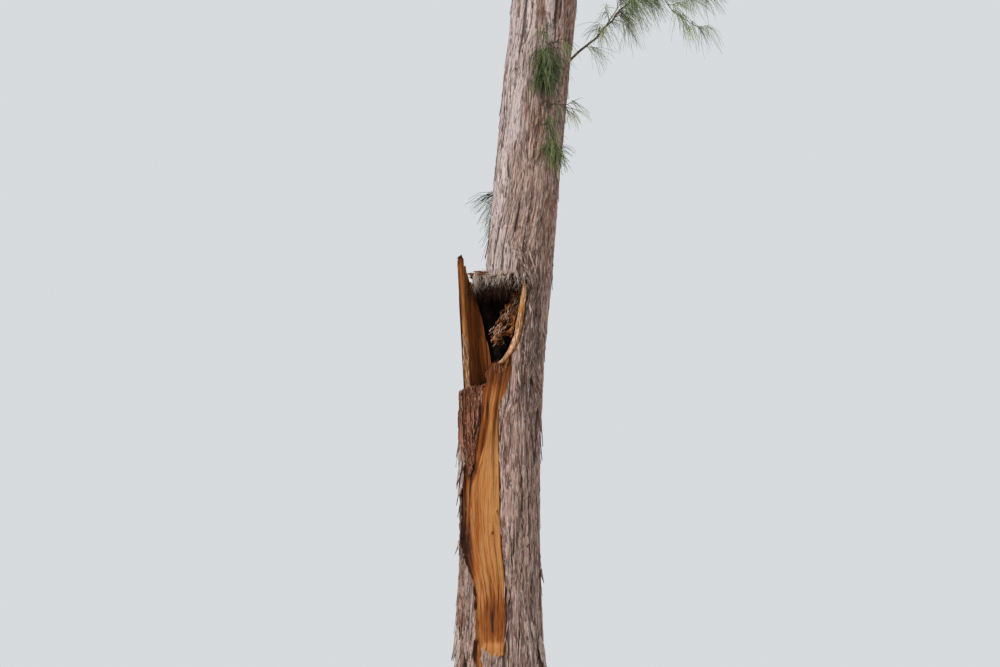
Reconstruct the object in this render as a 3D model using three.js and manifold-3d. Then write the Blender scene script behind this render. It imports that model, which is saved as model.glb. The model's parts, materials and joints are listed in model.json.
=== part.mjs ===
// A storm-broken ironwood tree, mostly dead, rooted in level ground.
// One of its two stems has torn out at the fork. It has left a hollow, a tall shard of wood and a long strip
// of bare wood down the trunk. The other stem leans on upwards and carries a thin crown of bare twigs, with a
// few green tufts.
// Millimetres. +Z is up, +X is to the right and -Y is the side that the wound faces.
import * as THREE from "three";
import { mergeVertices } from "three/addons/utils/BufferGeometryUtils.js";
import Module from "manifold-3d";

const wasm = await Module();
wasm.setup();

const SEED = 0x1a2b3c;
const GAP = 0.35; // between pieces that meet
const UP = new THREE.Vector3(0, 0, 1);
const GOLDEN_TURN = THREE.MathUtils.degToRad(137.5);

// Heights on the trunk.
const WAIST = 3000; // below it the two stems are one
const SHOULDER = 3630; // where the bark ends under the shard
const LEDGE = 4200; // where the torn stem's back wall ends
const BEND = 6500; // above it the lean fades
const SNAPPED_TOP = 12400;

// The trunk: radii, shifts and the lean of the stem that still stands.
const TRUNK = {
  sides: 26,
  waistRadius: 187,
  taper: 0.026, // of radius for each millimetre below the waist
  flare: 130, // how far the roots' lobes stand out at the ground
  flareHeight: 270,
  lobes: 5,
  ledgeShift: 89, // of the stem's centre at the ledge
  shiftPower: 1.7,
  lean: 0.091,
  leanFade: 1.1e-5,
  sway: 48,
};

// Height and radius of the stem that still stands.
const STEM_RADII = [
  [WAIST, 187],
  [3400, 174],
  [3800, 161],
  [LEDGE, 155],
  [5600, 152],
  [7200, 124],
  [9200, 92],
  [11000, 62],
  [SNAPPED_TOP, 36],
];

// Height, centre in x and in y, and radius of what is left of the torn stem.
const TORN_X = [
  [WAIST, 0],
  [3400, -14],
  [SHOULDER, -20],
  [3690, -6],
  [LEDGE, -8],
];
const TORN_Y = [
  [SHOULDER, 0],
  [3690, 24],
];
const TORN_RADII = [
  [WAIST, 187],
  [3400, 175],
  [SHOULDER, 172],
  [3690, 126],
  [LEDGE, 117],
];

// The hollow, seen from the front: x and z, from the pocket behind the shard's foot round to the right.
const HOLLOW_OUTLINE = [
  [-165, 3625],
  [-75, 3622],
  [-68, 3700],
  [-33, 3775],
  [14, 3768],
  [40, 3800],
  [62, 3860],
  [80, 3920],
  [92, 3980],
  [101, 4050],
  [101, 4190],
  [-165, 4190],
];
const HOLLOW_BACK = 62; // the y of its back wall

// The bare strip, seen from the front: x and z, down the right side and up the left.
const STRIP_OUTLINE = [
  [38, 3802],
  [28, 3620],
  [-6, 3520],
  [-8, 3400],
  [0, 3130],
  [4, 2930],
  [20, 2780],
  [28, 2660],
  [26, 2450],
  [14, 2250],
  [-30, 2120],
  [-95, 2220],
  [-112, 2450],
  [-108, 2650],
  [-130, 2775],
  [-175, 2900],
  [-180, 3120],
  [-174, 3400],
  [-122, 3460],
  [-116, 3560],
  [-80, 3618],
  [-80, 3802],
];
const STRIP_DEPTH = 16;

// The shard: a curved plate left standing at the torn stem's outer side. It curves from its front edge round
// to the back of the hollow, about an upright axis in front of it.
const SHARD = {
  foot: 3585,
  radius: 100,
  thickness: 28,
  centreY: -55,
  footX: -70,
  topX: -92,
  frontAngle: 184,
  backAngle: 68,
};
// Its top edge, seen from the front: x and z.
const SHARD_TOP = [
  [-204, 4262],
  [-186, 4284],
  [-176, 4250],
  [-142, 4187],
  [-102, 4080],
  [-80, 3980],
  [-66, 3930],
  [-47, 3830],
  [-33, 3766],
];

// Boughs, counted from the lowest to the topmost.
const BOUGHS = {
  count: 15,
  lowest: 5950,
  highest: 12050,
  lowLength: 1750,
  highLength: 640,
  lowRadius: 50,
  highRadius: 19,
  lowElevation: 34,
  highElevation: 58,
  firstTurn: 24,
  lowReach: 2150, // of the masses at their tips
  highReach: 1200,
  sides: 7,
  steps: 5,
};
const SNAPPED_BOUGHS = [3, 8, 11];
const FORKED_BOUGHS = [0, 1, 2, 6];

// How each kind of mass grows. A twig's length is a share of the mass's reach, and a finer twig's is a share
// of its twig's.
const BARE = {
  twigs: 7,
  spread: 0.78,
  lift: 0.35,
  kink: 0.3,
  twigLength: 0.62,
  fineLength: 0.42,
  sprays: 0,
};
const LEAFY = {
  twigs: 5,
  spread: 0.85,
  lift: -0.25,
  kink: 0.34,
  twigLength: 0.56,
  fineLength: 0.5,
  sprays: 1,
};
const TUFT = {
  twigs: 3,
  spread: 0.8,
  lift: -1.1,
  kink: 0.4,
  twigLength: 0.7,
  fineLength: 0,
  sprays: 2,
};
const GREEN_LIMBS = ["bough_02", "bough_06", "bough_10", "fork_03"];
const RUSTY_LIMBS = ["bough_05"];

// A spray of needles: a thin blade with two teeth.
const SPRAY = { length: 230, width: 64, thickness: 4, root: 14, notch: 0.58, sunk: 7 };
const LOWEST_LEAF = 300;

// Tufts that grow straight from the trunk: height, direction round it in degrees, reach and radius.
const TRUNK_TUFTS = [
  ["tuft_front_upper", 5270, -79, 250, 6],
  ["tuft_front_lower", 4985, -62, 200, 5],
  ["shoot_right", 5260, 2, 950, 7],
  ["tuft_back", 4620, 108, 260, 6],
  ["tuft_left_high", 6420, 196, 420, 8],
  ["tuft_front_high", 7350, -60, 460, 8],
  ["tuft_back_high", 8700, 75, 480, 8],
  ["tuft_top", 10350, -120, 460, 8],
];

const { lerp, smoothstep, degToRad, clamp } = THREE.MathUtils;

// A value read off rows of position and value, straight between them and level beyond them.
function along(rows, position) {
  if (position <= rows[0][0]) return rows[0][1];
  for (let i = 1; i < rows.length; i++) {
    const [from, start] = rows[i - 1];
    const [to, end] = rows[i];
    if (position <= to) return lerp(start, end, (position - from) / (to - from));
  }
  return rows[rows.length - 1][1];
}

// Seeded random numbers from 0 to 1. Each limb, twig and spray has a stream of its own, named by its place in
// the tree, so that one twig that is skipped changes no other.
function stream(...place) {
  let state = SEED;
  for (const n of place) state = (Math.imul(state ^ n, 0x9e3779b1) + 0x85ebca6b) >>> 0;
  return () => {
    state = (state + 0x6d2b79f5) >>> 0;
    let t = Math.imul(state ^ (state >>> 15), state | 1);
    t ^= t + Math.imul(t ^ (t >>> 7), t | 61);
    return ((t ^ (t >>> 14)) >>> 0) / 4294967296;
  };
}

// A geometry as a solid that can be joined and cut.
function solidOf(geometry) {
  const bare = geometry.clone();
  bare.deleteAttribute("normal");
  bare.deleteAttribute("uv");
  const merged = mergeVertices(bare, 1e-4);
  return new wasm.Manifold(
    new wasm.Mesh({
      numProp: 3,
      vertProperties: new Float32Array(merged.attributes.position.array),
      triVerts: new Uint32Array(merged.index.array),
    }),
  );
}

// A solid as a geometry. Only its largest piece is kept, which drops loose scraps and fills sealed hollows.
function geometryOf(solid) {
  const pieces = solid.decompose().sort((a, b) => b.volume() - a.volume());
  const { vertProperties, triVerts, numProp } = pieces[0].simplify(0.02).getMesh();
  const positions = new Float32Array((vertProperties.length / numProp) * 3);
  for (let i = 0; i < positions.length / 3; i++) {
    positions.set(vertProperties.subarray(i * numProp, i * numProp + 3), i * 3);
  }
  const geometry = new THREE.BufferGeometry();
  geometry.setAttribute("position", new THREE.BufferAttribute(positions, 3));
  geometry.setIndex(new THREE.BufferAttribute(triVerts, 1));
  geometry.computeVertexNormals();
  return geometry;
}

// Moves each vertex of a geometry to where place(x, y, z) says.
function reshape(geometry, place) {
  const position = geometry.attributes.position;
  for (let i = 0; i < position.count; i++) {
    const moved = place(position.getX(i), position.getY(i), position.getZ(i));
    position.setXYZ(i, moved.x, moved.y, moved.z);
  }
  return geometry;
}

// The trunk

// The centre of the stem that still stands. It moves off to the right above the waist, leans on upwards, and
// then straightens.
function stemCentre(z) {
  const climb = clamp((z - WAIST) / (LEDGE - WAIST), 0, 1);
  const shift = TRUNK.ledgeShift * Math.pow(climb, TRUNK.shiftPower);
  const leaning = TRUNK.lean * Math.max(0, z - LEDGE) - TRUNK.leanFade * Math.max(0, z - BEND) ** 2;
  const wander = TRUNK.sway * smoothstep(z, 5700, 7500);
  return {
    x: shift + leaning + wander * Math.sin((z - 5700) / 1050),
    y: 1.3 * wander * Math.sin((z - 5700) / 1350),
  };
}

// The centre that a ring of the trunk is measured from: inside both stems where there are two.
function ringCentre(z) {
  const stem = stemCentre(z);
  const between = 29 * (smoothstep(z, WAIST, 4100) - smoothstep(z, 4250, 4600));
  return { x: stem.x - between, y: stem.y };
}

// How far a disc reaches from a centre that lies dx, dy from the disc's own.
function discReach(angle, dx, dy, radius) {
  const ahead = dx * Math.cos(angle) + dy * Math.sin(angle);
  const within = radius * radius - dx * dx - dy * dy + ahead * ahead;
  return within <= 0 ? 0 : ahead + Math.sqrt(within);
}

// The trunk's radius at an angle and a height.
function trunkRadius(angle, z) {
  const centre = ringCentre(z);
  const stem = stemCentre(z);
  const butt = TRUNK.taper * Math.max(0, WAIST - z);
  let reach = discReach(angle, stem.x - centre.x, stem.y - centre.y, along(STEM_RADII, z) + butt);
  if (z > WAIST && z <= LEDGE) {
    const dx = along(TORN_X, z) - centre.x;
    const dy = along(TORN_Y, z) - centre.y;
    reach = Math.max(reach, discReach(angle, dx, dy, along(TORN_RADII, z)));
  }
  const lobe = 0.55 + 0.45 * Math.cos(TRUNK.lobes * angle + 0.7 + 0.4 * Math.sin(angle));
  const foot = TRUNK.flare * Math.exp(-z / TRUNK.flareHeight) * lobe;
  const flutes = 0.012 * Math.cos(3 * angle + z / 900) + 0.01 * Math.cos(7 * angle - z / 700);
  return foot + reach * (1 + flutes);
}

// Heights of the trunk's rings: close together at the foot, the shoulder and the ledge.
const TRUNK_RINGS = [0, 70, 160, 280, 430, 640, 900, 1250, 1650, 2050, 2400, 2700, WAIST, 3200, 3400, 3520];
TRUNK_RINGS.push(SHOULDER, 3690, 3820, 3960, 4080, LEDGE, LEDGE + 4, 4400);
for (let z = 4750; z < SNAPPED_TOP; z += 500) TRUNK_RINGS.push(z);
TRUNK_RINGS.push(SNAPPED_TOP);

// The trunk as a closed tube, grown by a margin, with a jagged snapped top.
function trunkTube(margin) {
  const last = TRUNK_RINGS.length - 1;
  const tube = new THREE.CylinderGeometry(1, 1, last, TRUNK.sides, last);
  return reshape(tube, (x, y, z) => {
    const ring = Math.round(y + last / 2);
    const height = TRUNK_RINGS[ring];
    const centre = ringCentre(height);
    const angle = Math.atan2(-z, x);
    const reach = Math.hypot(x, z) > 0.5 ? trunkRadius(angle, height) + margin : 0;
    const jag = ring === last ? 70 * Math.sin(2 * angle + 1) + 45 * Math.sin(5 * angle) : 0;
    return {
      x: centre.x + reach * Math.cos(angle),
      y: centre.y + reach * Math.sin(angle),
      z: height + (reach > 0 ? jag : 0),
    };
  });
}

// An outline seen from the front, pushed through from front to back.
function frontCut(outline, front, back) {
  const shape = new THREE.Shape(outline.map(([x, z]) => new THREE.Vector2(x, z)));
  const cut = new THREE.ExtrudeGeometry(shape, { depth: back - front, bevelEnabled: false });
  return cut.rotateX(Math.PI / 2).translate(0, back, 0);
}

// The shard's plate, grown by a margin. It runs round from its front edge to the back, and its top follows
// SHARD_TOP.
function shardPlate(margin) {
  const plate = new THREE.BoxGeometry(1, 1, 1, 14, 1, 9);
  return reshape(plate, (u, w, v) => {
    const turn = degToRad(lerp(SHARD.frontAngle + margin / 2, SHARD.backAngle - margin / 2, u + 0.5));
    const radius = SHARD.radius + w * (SHARD.thickness + 2 * margin);
    const topX = SHARD.topX + SHARD.radius * Math.cos(turn);
    const top = along(SHARD_TOP, topX) + margin;
    const height = lerp(SHARD.foot - margin, top, v + 0.5);
    const climb = (height - SHARD.foot) / (SHARD_TOP[1][1] - SHARD.foot);
    return {
      x: lerp(SHARD.footX, SHARD.topX, climb) + radius * Math.cos(turn),
      y: SHARD.centreY + radius * Math.sin(turn),
      z: height,
    };
  });
}

// The trunk: its tube, less the hollow, the bare strip and the shard's seat.
function trunkSolid() {
  const hollow = solidOf(frontCut(HOLLOW_OUTLINE, -400, HOLLOW_BACK));
  const strip = solidOf(frontCut(STRIP_OUTLINE, -400, 0)).subtract(solidOf(trunkTube(-STRIP_DEPTH)));
  return solidOf(trunkTube(0)).subtract(hollow).subtract(strip).subtract(solidOf(shardPlate(GAP)));
}

// Limbs and twigs

// A path of equal steps. Each step after the first is drawn up, or down, by lift and knocked aside by kink.
function growPath(from, heading, length, steps, lift, kink, random) {
  const points = [from.clone()];
  const direction = heading.clone();
  for (let k = 0; k < steps; k++) {
    if (k > 0) {
      direction.x += (random() - 0.5) * kink;
      direction.y += (random() - 0.5) * kink;
      direction.z += (random() - 0.5) * kink + lift / steps;
      direction.normalize();
    }
    points.push(points[k].clone().addScaledVector(direction, length / steps));
  }
  return points;
}

// A heading that leaves another by an angle of spread, on the side that roll gives.
function sideHeading(heading, spread, roll) {
  const level = Math.abs(heading.z) < 0.9 ? UP : new THREE.Vector3(1, 0, 0);
  const across = new THREE.Vector3().crossVectors(heading, level).normalize();
  const over = new THREE.Vector3().crossVectors(across, heading);
  return heading
    .clone()
    .multiplyScalar(Math.cos(spread))
    .addScaledVector(across, Math.sin(spread) * Math.cos(roll))
    .addScaledVector(over, Math.sin(spread) * Math.sin(roll));
}

// A point a share of the way along a path, and the heading there.
function pointAt(points, share) {
  const step = Math.min(Math.floor(share * (points.length - 1)), points.length - 2);
  return points[step].clone().lerp(points[step + 1], share * (points.length - 1) - step);
}
function headingAt(points, share) {
  const step = Math.min(Math.floor(share * (points.length - 1)), points.length - 2);
  return points[step + 1].clone().sub(points[step]).normalize();
}

// A cylinder bent along a path: ring k sits square to the path at points[k] with radii[k], and a last radius
// of 0 makes a point. A jagged limb ends in a torn face.
function limbTube(points, radii, sides, jagged = false) {
  const last = points.length - 1;
  const tube = new THREE.CylinderGeometry(radii[last] > 0 ? 1 : 0, 1, last, sides, last);
  const frames = [];
  let normal = new THREE.Vector3(0.37, 0.61, 0.7);
  for (let k = 0; k <= last; k++) {
    const before = points[Math.max(k - 1, 0)];
    const after = points[Math.min(k + 1, last)];
    const tangent = after.clone().sub(before).normalize();
    normal = normal.clone().addScaledVector(tangent, -normal.dot(tangent)).normalize();
    frames.push({ tangent, normal, binormal: new THREE.Vector3().crossVectors(normal, tangent) });
  }
  return reshape(tube, (x, y, z) => {
    const k = Math.round(y + last / 2);
    const turn = Math.hypot(x, z);
    const scale = turn > 1e-6 ? radii[k] / turn : 0;
    const { tangent, normal: side, binormal } = frames[k];
    const moved = points[k].clone().addScaledVector(side, x * scale).addScaledVector(binormal, z * scale);
    if (jagged && k === last && scale > 0) {
      moved.addScaledVector(tangent, radii[k] * 1.6 * Math.sin(2 * Math.atan2(z, x) + 0.5));
    }
    return moved;
  });
}

// Everything grown so far, as straight stretches with a radius and the name of their node.
const grown = [];
function claim(name, points, radii) {
  for (let k = 1; k < points.length; k++) {
    const radius = Math.max(radii[k - 1], radii[k]);
    grown.push({ name, line: new THREE.Line3(points[k - 1], points[k]), radius });
  }
}

// Whether a path keeps clear of every node but its own.
const CLEARANCE = 9;
function isClear(name, points, radii) {
  for (let k = 1; k < points.length; k++) {
    const line = new THREE.Line3(points[k - 1], points[k]);
    const radius = Math.max(radii[k - 1], radii[k]);
    for (const other of grown) {
      if (other.name === name) continue;
      const apart = radius + other.radius + CLEARANCE;
      if (line.distanceSqToLine3(other.line) < apart * apart) return false;
    }
  }
  return true;
}

// Radii that run straight from a root to a tip.
function taperedRadii(root, tip, steps) {
  return Array.from({ length: steps + 1 }, (_, k) => lerp(root, tip, k / steps));
}

const twoDigits = (n) => String(n).padStart(2, "0");

// A bough: a limb that starts inside the trunk.
function makeBough(i) {
  const random = stream(1, i);
  const height = i / (BOUGHS.count - 1);
  const z = lerp(BOUGHS.lowest, BOUGHS.highest, Math.pow(height, 0.95));
  const turn = degToRad(BOUGHS.firstTurn + 22 * (random() - 0.5)) + i * GOLDEN_TURN;
  const slope = lerp(BOUGHS.lowElevation, BOUGHS.highElevation, height);
  const elevation = degToRad(slope + 12 * (random() - 0.5));
  const snapped = SNAPPED_BOUGHS.includes(i);
  const kept = snapped ? 0.6 : 1;
  const length = lerp(BOUGHS.lowLength, BOUGHS.highLength, height) * (0.85 + 0.3 * random()) * kept;
  const radius = lerp(BOUGHS.lowRadius, BOUGHS.highRadius, height) * (0.9 + 0.2 * random());
  const heading = new THREE.Vector3(
    Math.cos(elevation) * Math.cos(turn),
    Math.cos(elevation) * Math.sin(turn),
    Math.sin(elevation),
  );
  const centre = ringCentre(z);
  const from = new THREE.Vector3(centre.x, centre.y, z);
  const points = growPath(from, heading, length, BOUGHS.steps, 0.5, 0.34, random);
  const radii = taperedRadii(radius, radius * (snapped ? 0.7 : 0.5), BOUGHS.steps);
  radii[1] *= 1.12;
  return { name: "bough_" + twoDigits(i + 1), points, radii, snapped, parent: null, height };
}

// A fork: a second limb that leaves a bough half way along it.
function makeFork(i, bough) {
  const random = stream(2, i);
  const share = 0.5 + 0.14 * random();
  const from = pointAt(bough.points, share);
  const heading = sideHeading(headingAt(bough.points, share), 0.75, random() < 0.5 ? 0.35 : Math.PI - 0.35);
  const length = lerp(BOUGHS.lowLength, BOUGHS.highLength, bough.height) * (0.55 + 0.25 * random());
  const radius = bough.radii[BOUGHS.steps] * 1.25;
  const points = growPath(from, heading, length, 4, 0.45, 0.34, random);
  const radii = taperedRadii(radius, radius * 0.6, 4);
  const name = "fork_" + twoDigits(i + 1);
  return { name, points, radii, snapped: false, parent: bough, height: bough.height };
}

// Whether a twig or a spray stays in its mass's space and keeps clear of every other node.
function fits(mass, { points, radii }) {
  const inside = points.every((point) => point.distanceTo(mass.middle) < mass.space && point.z > LOWEST_LEAF);
  return inside && isClear(mass.name, points, radii);
}

// A twig that leaves its parent a share of the way along it and tapers to a point.
function growTwig(parent, share, spread, roll, length, root, steps, habit, random) {
  const heading = sideHeading(headingAt(parent.points, share), spread, roll);
  return {
    points: growPath(pointAt(parent.points, share), heading, length, steps, habit.lift, habit.kink, random),
    radii: taperedRadii(root, 0, steps),
  };
}

// Hangs a spray from a twig, a share of the way along it. Its root is sunk into the twig.
function hangSpray(mass, twig, share, ...key) {
  const random = stream(6, mass.place, ...key);
  const root = pointAt(twig.points, share);
  const hang = headingAt(twig.points, share).multiplyScalar(0.4);
  hang.x += 0.7 * (random() - 0.5);
  hang.y += 0.7 * (random() - 0.5);
  hang.z -= 0.95;
  hang.normalize();
  const length = SPRAY.length * (0.8 + 0.5 * random());
  const spray = {
    points: [root.clone().addScaledVector(hang, -SPRAY.sunk), root.clone().addScaledVector(hang, length)],
    radii: [SPRAY.width / 3, SPRAY.width / 3],
    turn: Math.PI * random(),
  };
  if (fits(mass, spray)) mass.sprays.push(spray);
}

// One mass: a stem, twigs along it, a finer twig on each of those, and sprays hung near their tips. What
// would leave the mass's space or come near another node is skipped.
function growMass(name, place, from, heading, radius, reach, habit) {
  const stem = {
    points: growPath(from, heading, reach, 5, habit.lift, habit.kink, stream(3, place)),
    radii: taperedRadii(radius, 0, 5),
  };
  const middle = pointAt(stem.points, 0.5);
  const mass = { name, place, middle, space: reach * 0.85, twigs: [stem], sprays: [] };
  for (let j = 0; j < habit.twigs; j++) {
    const random = stream(4, place, j);
    const share = lerp(0.14, 0.93, (j + 0.6 * random()) / habit.twigs);
    const roll = j * GOLDEN_TURN + 0.8 * random();
    const spread = habit.spread * (0.8 + 0.4 * random());
    const length = reach * habit.twigLength * (1 - 0.5 * share) * (0.75 + 0.45 * random());
    const root = Math.max(radius * (1 - share) * 0.72, 3.2);
    const twig = growTwig(stem, share, spread, roll, length, root, 2, habit, random);
    if (!fits(mass, twig)) continue;
    mass.twigs.push(twig);
    for (let s = 0; s < habit.sprays; s++) hangSpray(mass, twig, 0.92 - 0.42 * s, j, s);
    if (habit.fineLength > 0) growFineTwig(mass, twig, j, root, length * habit.fineLength, habit);
  }
  for (let s = 0; s < habit.sprays; s++) hangSpray(mass, stem, 0.95 - 0.35 * s, 99, s);
  for (const part of [...mass.twigs, ...mass.sprays]) claim(name, part.points, part.radii);
  return mass;
}

// The finer twig on twig j of a mass, with a spray of its own on a leafy mass.
function growFineTwig(mass, twig, j, root, length, habit) {
  const random = stream(5, mass.place, j);
  const share = 0.38 + 0.2 * random();
  const roll = 2 * Math.PI * random();
  const reach = length * (0.8 + 0.4 * random());
  const fineRoot = Math.max(root * (1 - share) * 0.8, 2.6);
  const fine = growTwig(twig, share, 0.75, roll, reach, fineRoot, 1, habit, random);
  if (!fits(mass, fine)) return;
  mass.twigs.push(fine);
  if (habit.sprays > 0) hangSpray(mass, fine, 0.9, j, 10);
}

// A spray of needles as a thin blade with two teeth, hung from its root.
function sprayBlade({ points: [root, tip], turn }) {
  const length = root.distanceTo(tip);
  const half = SPRAY.width / 2;
  const shape = new THREE.Shape([
    new THREE.Vector2(-SPRAY.root / 2, 0),
    new THREE.Vector2(SPRAY.root / 2, 0),
    new THREE.Vector2(half, length * 0.86),
    new THREE.Vector2(0, length * SPRAY.notch),
    new THREE.Vector2(-half * 0.8, length),
  ]);
  const blade = new THREE.ExtrudeGeometry(shape, { depth: SPRAY.thickness, bevelEnabled: false });
  blade.translate(0, 0, -SPRAY.thickness / 2).rotateY(turn);
  const hang = tip.clone().sub(root).normalize();
  blade.applyQuaternion(new THREE.Quaternion().setFromUnitVectors(new THREE.Vector3(0, 1, 0), hang));
  return blade.translate(root.x, root.y, root.z);
}

// A mass as one solid: its twigs and sprays joined.
function massSolid({ twigs, sprays }) {
  const tubes = twigs.map((twig) => solidOf(limbTube(twig.points, twig.radii, 3)));
  return wasm.Manifold.union([...tubes, ...sprays.map((spray) => solidOf(sprayBlade(spray)))]);
}

// The whole tree

const FINISHES = {
  bark: { color: "#7d665d", roughness: 0.95 },
  tornWood: { color: "#8a5630", roughness: 0.8 },
  deadTwigs: { color: "#6d5a50", roughness: 0.9 },
  green: { color: "#4c5c33", roughness: 0.65 },
  rusty: { color: "#8a5236", roughness: 0.85 },
};

const tree = new THREE.Group();
function add(name, solid, finish) {
  const mesh = new THREE.Mesh(geometryOf(solid), new THREE.MeshStandardMaterial({ metalness: 0, ...finish }));
  mesh.name = name;
  tree.add(mesh);
}

const trunk = trunkSolid();
const trunkSeat = solidOf(trunkTube(GAP));
add("trunk", trunk, FINISHES.bark);
add("torn_shard", solidOf(shardPlate(0)), FINISHES.tornWood);

const trunkLine = TRUNK_RINGS.map((z) => new THREE.Vector3(ringCentre(z).x, ringCentre(z).y, z));
claim(
  "trunk",
  trunkLine,
  TRUNK_RINGS.map((z) => along(STEM_RADII, z) * 1.02),
);

// A limb's tube, grown by a margin.
function limbSolid(limb, margin) {
  const radii = limb.radii.map((radius) => radius + margin);
  return solidOf(limbTube(limb.points, radii, BOUGHS.sides, limb.snapped));
}

// Limbs first, so that every twig can keep clear of them.
const boughs = Array.from({ length: BOUGHS.count }, (_, i) => makeBough(i));
const forks = FORKED_BOUGHS.map((b, i) => makeFork(i, boughs[b]));
const limbs = [...boughs, ...forks];
for (const limb of limbs) {
  claim(limb.name, limb.points, limb.radii);
  const seat = limb.parent ? limbSolid(limb.parent, GAP) : trunkSeat;
  add(limb.name, limbSolid(limb, 0).subtract(seat), FINISHES.bark);
}

// Tufts that grow from the trunk, with their roots in its surface. The shoot is longer and climbs.
TRUNK_TUFTS.forEach(([name, z, direction, reach, radius], i) => {
  const isShoot = name === "shoot_right";
  const turn = degToRad(direction);
  const out = new THREE.Vector3(Math.cos(turn), Math.sin(turn), 0);
  const centre = ringCentre(z);
  const from = new THREE.Vector3(centre.x, centre.y, z).addScaledVector(out, trunkRadius(turn, z) - 12);
  out.z = isShoot ? 0.9 : 0.25;
  const habit = isShoot ? { ...LEAFY, lift: 0.7 } : TUFT;
  const mass = growMass(name, 100 + i, from, out.normalize(), radius, reach, habit);
  add(name, massSolid(mass).subtract(trunkSeat), FINISHES.green);
});

// A tuft on the side of a snapped bough.
function addStubTuft(limb, place) {
  const share = 0.8;
  const side = sideHeading(headingAt(limb.points, share), 1.2, -1.2);
  const mass = growMass("tuft_on_" + limb.name, place, pointAt(limb.points, share), side, 8, 420, TUFT);
  add(mass.name, massSolid(mass).subtract(limbSolid(limb, GAP)), FINISHES.green);
}

// The mass at a limb's tip: bare, green or rusty.
function addTipMass(limb, place) {
  const tip = limb.points.at(-1);
  const heading = tip.clone().sub(limb.points.at(-2)).normalize();
  const reach = lerp(BOUGHS.lowReach, BOUGHS.highReach, limb.height) * (limb.parent ? 0.8 : 1);
  const from = tip.clone().addScaledVector(heading, GAP);
  let [prefix, habit, finish] = ["bare_twigs_", BARE, FINISHES.deadTwigs];
  if (GREEN_LIMBS.includes(limb.name)) [prefix, habit, finish] = ["green_mass_", LEAFY, FINISHES.green];
  if (RUSTY_LIMBS.includes(limb.name)) [prefix, habit, finish] = ["rusty_mass_", LEAFY, FINISHES.rusty];
  const mass = growMass(prefix + limb.name, place, from, heading, limb.radii.at(-1), reach, habit);
  add(mass.name, massSolid(mass), finish);
}

limbs.forEach((limb, i) => {
  if (limb.snapped) addStubTuft(limb, 300 + i);
  else addTipMass(limb, 200 + i);
});

export default tree;
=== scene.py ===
"""A storm-broken ironwood, mostly dead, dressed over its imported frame.

The trunk, boughs and torn wood get their relief here. Each mass of twigs or needles grows on from its limb
by the rule that made its solid, carried on to finer twigs. Sizes are in millimetres until a mesh is made,
and the settings that a user may change are in metres. -Y is the side that the wound faces.
"""

import functools
import json
import math

import bmesh
import bpy
import numpy as np
from bpy.props import FloatProperty, FloatVectorProperty, IntProperty, PointerProperty
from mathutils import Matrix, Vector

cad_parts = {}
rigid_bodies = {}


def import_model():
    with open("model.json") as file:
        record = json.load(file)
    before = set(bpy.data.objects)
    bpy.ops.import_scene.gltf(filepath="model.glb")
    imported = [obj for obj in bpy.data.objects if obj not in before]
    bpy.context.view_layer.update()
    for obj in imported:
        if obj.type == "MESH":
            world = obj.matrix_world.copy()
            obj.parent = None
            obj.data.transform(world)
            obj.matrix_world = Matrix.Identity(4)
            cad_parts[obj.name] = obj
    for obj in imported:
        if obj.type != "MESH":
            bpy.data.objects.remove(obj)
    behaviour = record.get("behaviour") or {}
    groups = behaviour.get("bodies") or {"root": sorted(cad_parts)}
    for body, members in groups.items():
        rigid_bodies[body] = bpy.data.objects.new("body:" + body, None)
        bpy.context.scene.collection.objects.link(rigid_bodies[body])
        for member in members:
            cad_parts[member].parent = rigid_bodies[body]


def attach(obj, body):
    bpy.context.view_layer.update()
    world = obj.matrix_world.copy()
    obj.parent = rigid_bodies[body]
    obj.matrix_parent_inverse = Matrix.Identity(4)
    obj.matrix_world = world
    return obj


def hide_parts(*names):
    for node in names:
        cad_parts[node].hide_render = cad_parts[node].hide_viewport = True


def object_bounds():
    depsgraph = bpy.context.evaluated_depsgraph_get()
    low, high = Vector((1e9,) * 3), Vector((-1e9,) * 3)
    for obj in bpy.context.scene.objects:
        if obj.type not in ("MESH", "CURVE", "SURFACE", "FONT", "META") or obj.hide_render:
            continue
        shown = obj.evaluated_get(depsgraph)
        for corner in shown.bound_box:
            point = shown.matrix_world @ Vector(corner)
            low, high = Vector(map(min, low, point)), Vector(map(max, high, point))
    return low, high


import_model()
CAD_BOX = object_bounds()

bl_info = {
    "name": "Storm-broken ironwood",
    "version": (1, 0, 0),
    "blender": (4, 5, 0),
    "location": "View3D > Sidebar > Tree",
    "description": "Builds a mostly dead ironwood tree with a torn-out stem, over its packed frame",
    "category": "Object",
}

MM = 0.001
TAU = 2 * math.pi

# The tree's rule of growth, as in its solids

SEED = 0x1A2B3C
GAP = 0.35
GOLDEN_TURN = math.radians(137.5)
WAIST = 3000
SHOULDER = 3630
CORE_FOOT = 3690
LEDGE = 4200
SWAY_FOOT = 5700
BEND = 6500
SNAPPED_TOP = 12400
TRUNK = dict(taper=0.026, flare=130, flare_height=270, lobes=5, ledge_shift=89, shift_power=1.7)
LEAN = dict(lean=0.091, fade=1.1e-5, sway=48)
TWIN_SHIFT = 29
STEM_RADII = [(WAIST, 187), (3400, 174), (3800, 161), (LEDGE, 155), (5600, 152), (7200, 124), (9200, 92)]
STEM_RADII += [(11000, 62), (SNAPPED_TOP, 36)]
TORN_X = [(WAIST, 0), (3400, -14), (SHOULDER, -20), (CORE_FOOT, -6), (LEDGE, -8)]
TORN_Y = [(SHOULDER, 0), (CORE_FOOT, 24)]
TORN_RADII = [(WAIST, 187), (3400, 175), (SHOULDER, 172), (CORE_FOOT, 126), (LEDGE, 117)]
TRUNK_RINGS = [0, 70, 160, 280, 430, 640, 900, 1250, 1650, 2050, 2400, 2700, WAIST, 3200, 3400, 3520]
TRUNK_RINGS += [SHOULDER, CORE_FOOT, 3820, 3960, 4080, LEDGE, LEDGE + 4, 4400]
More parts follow.
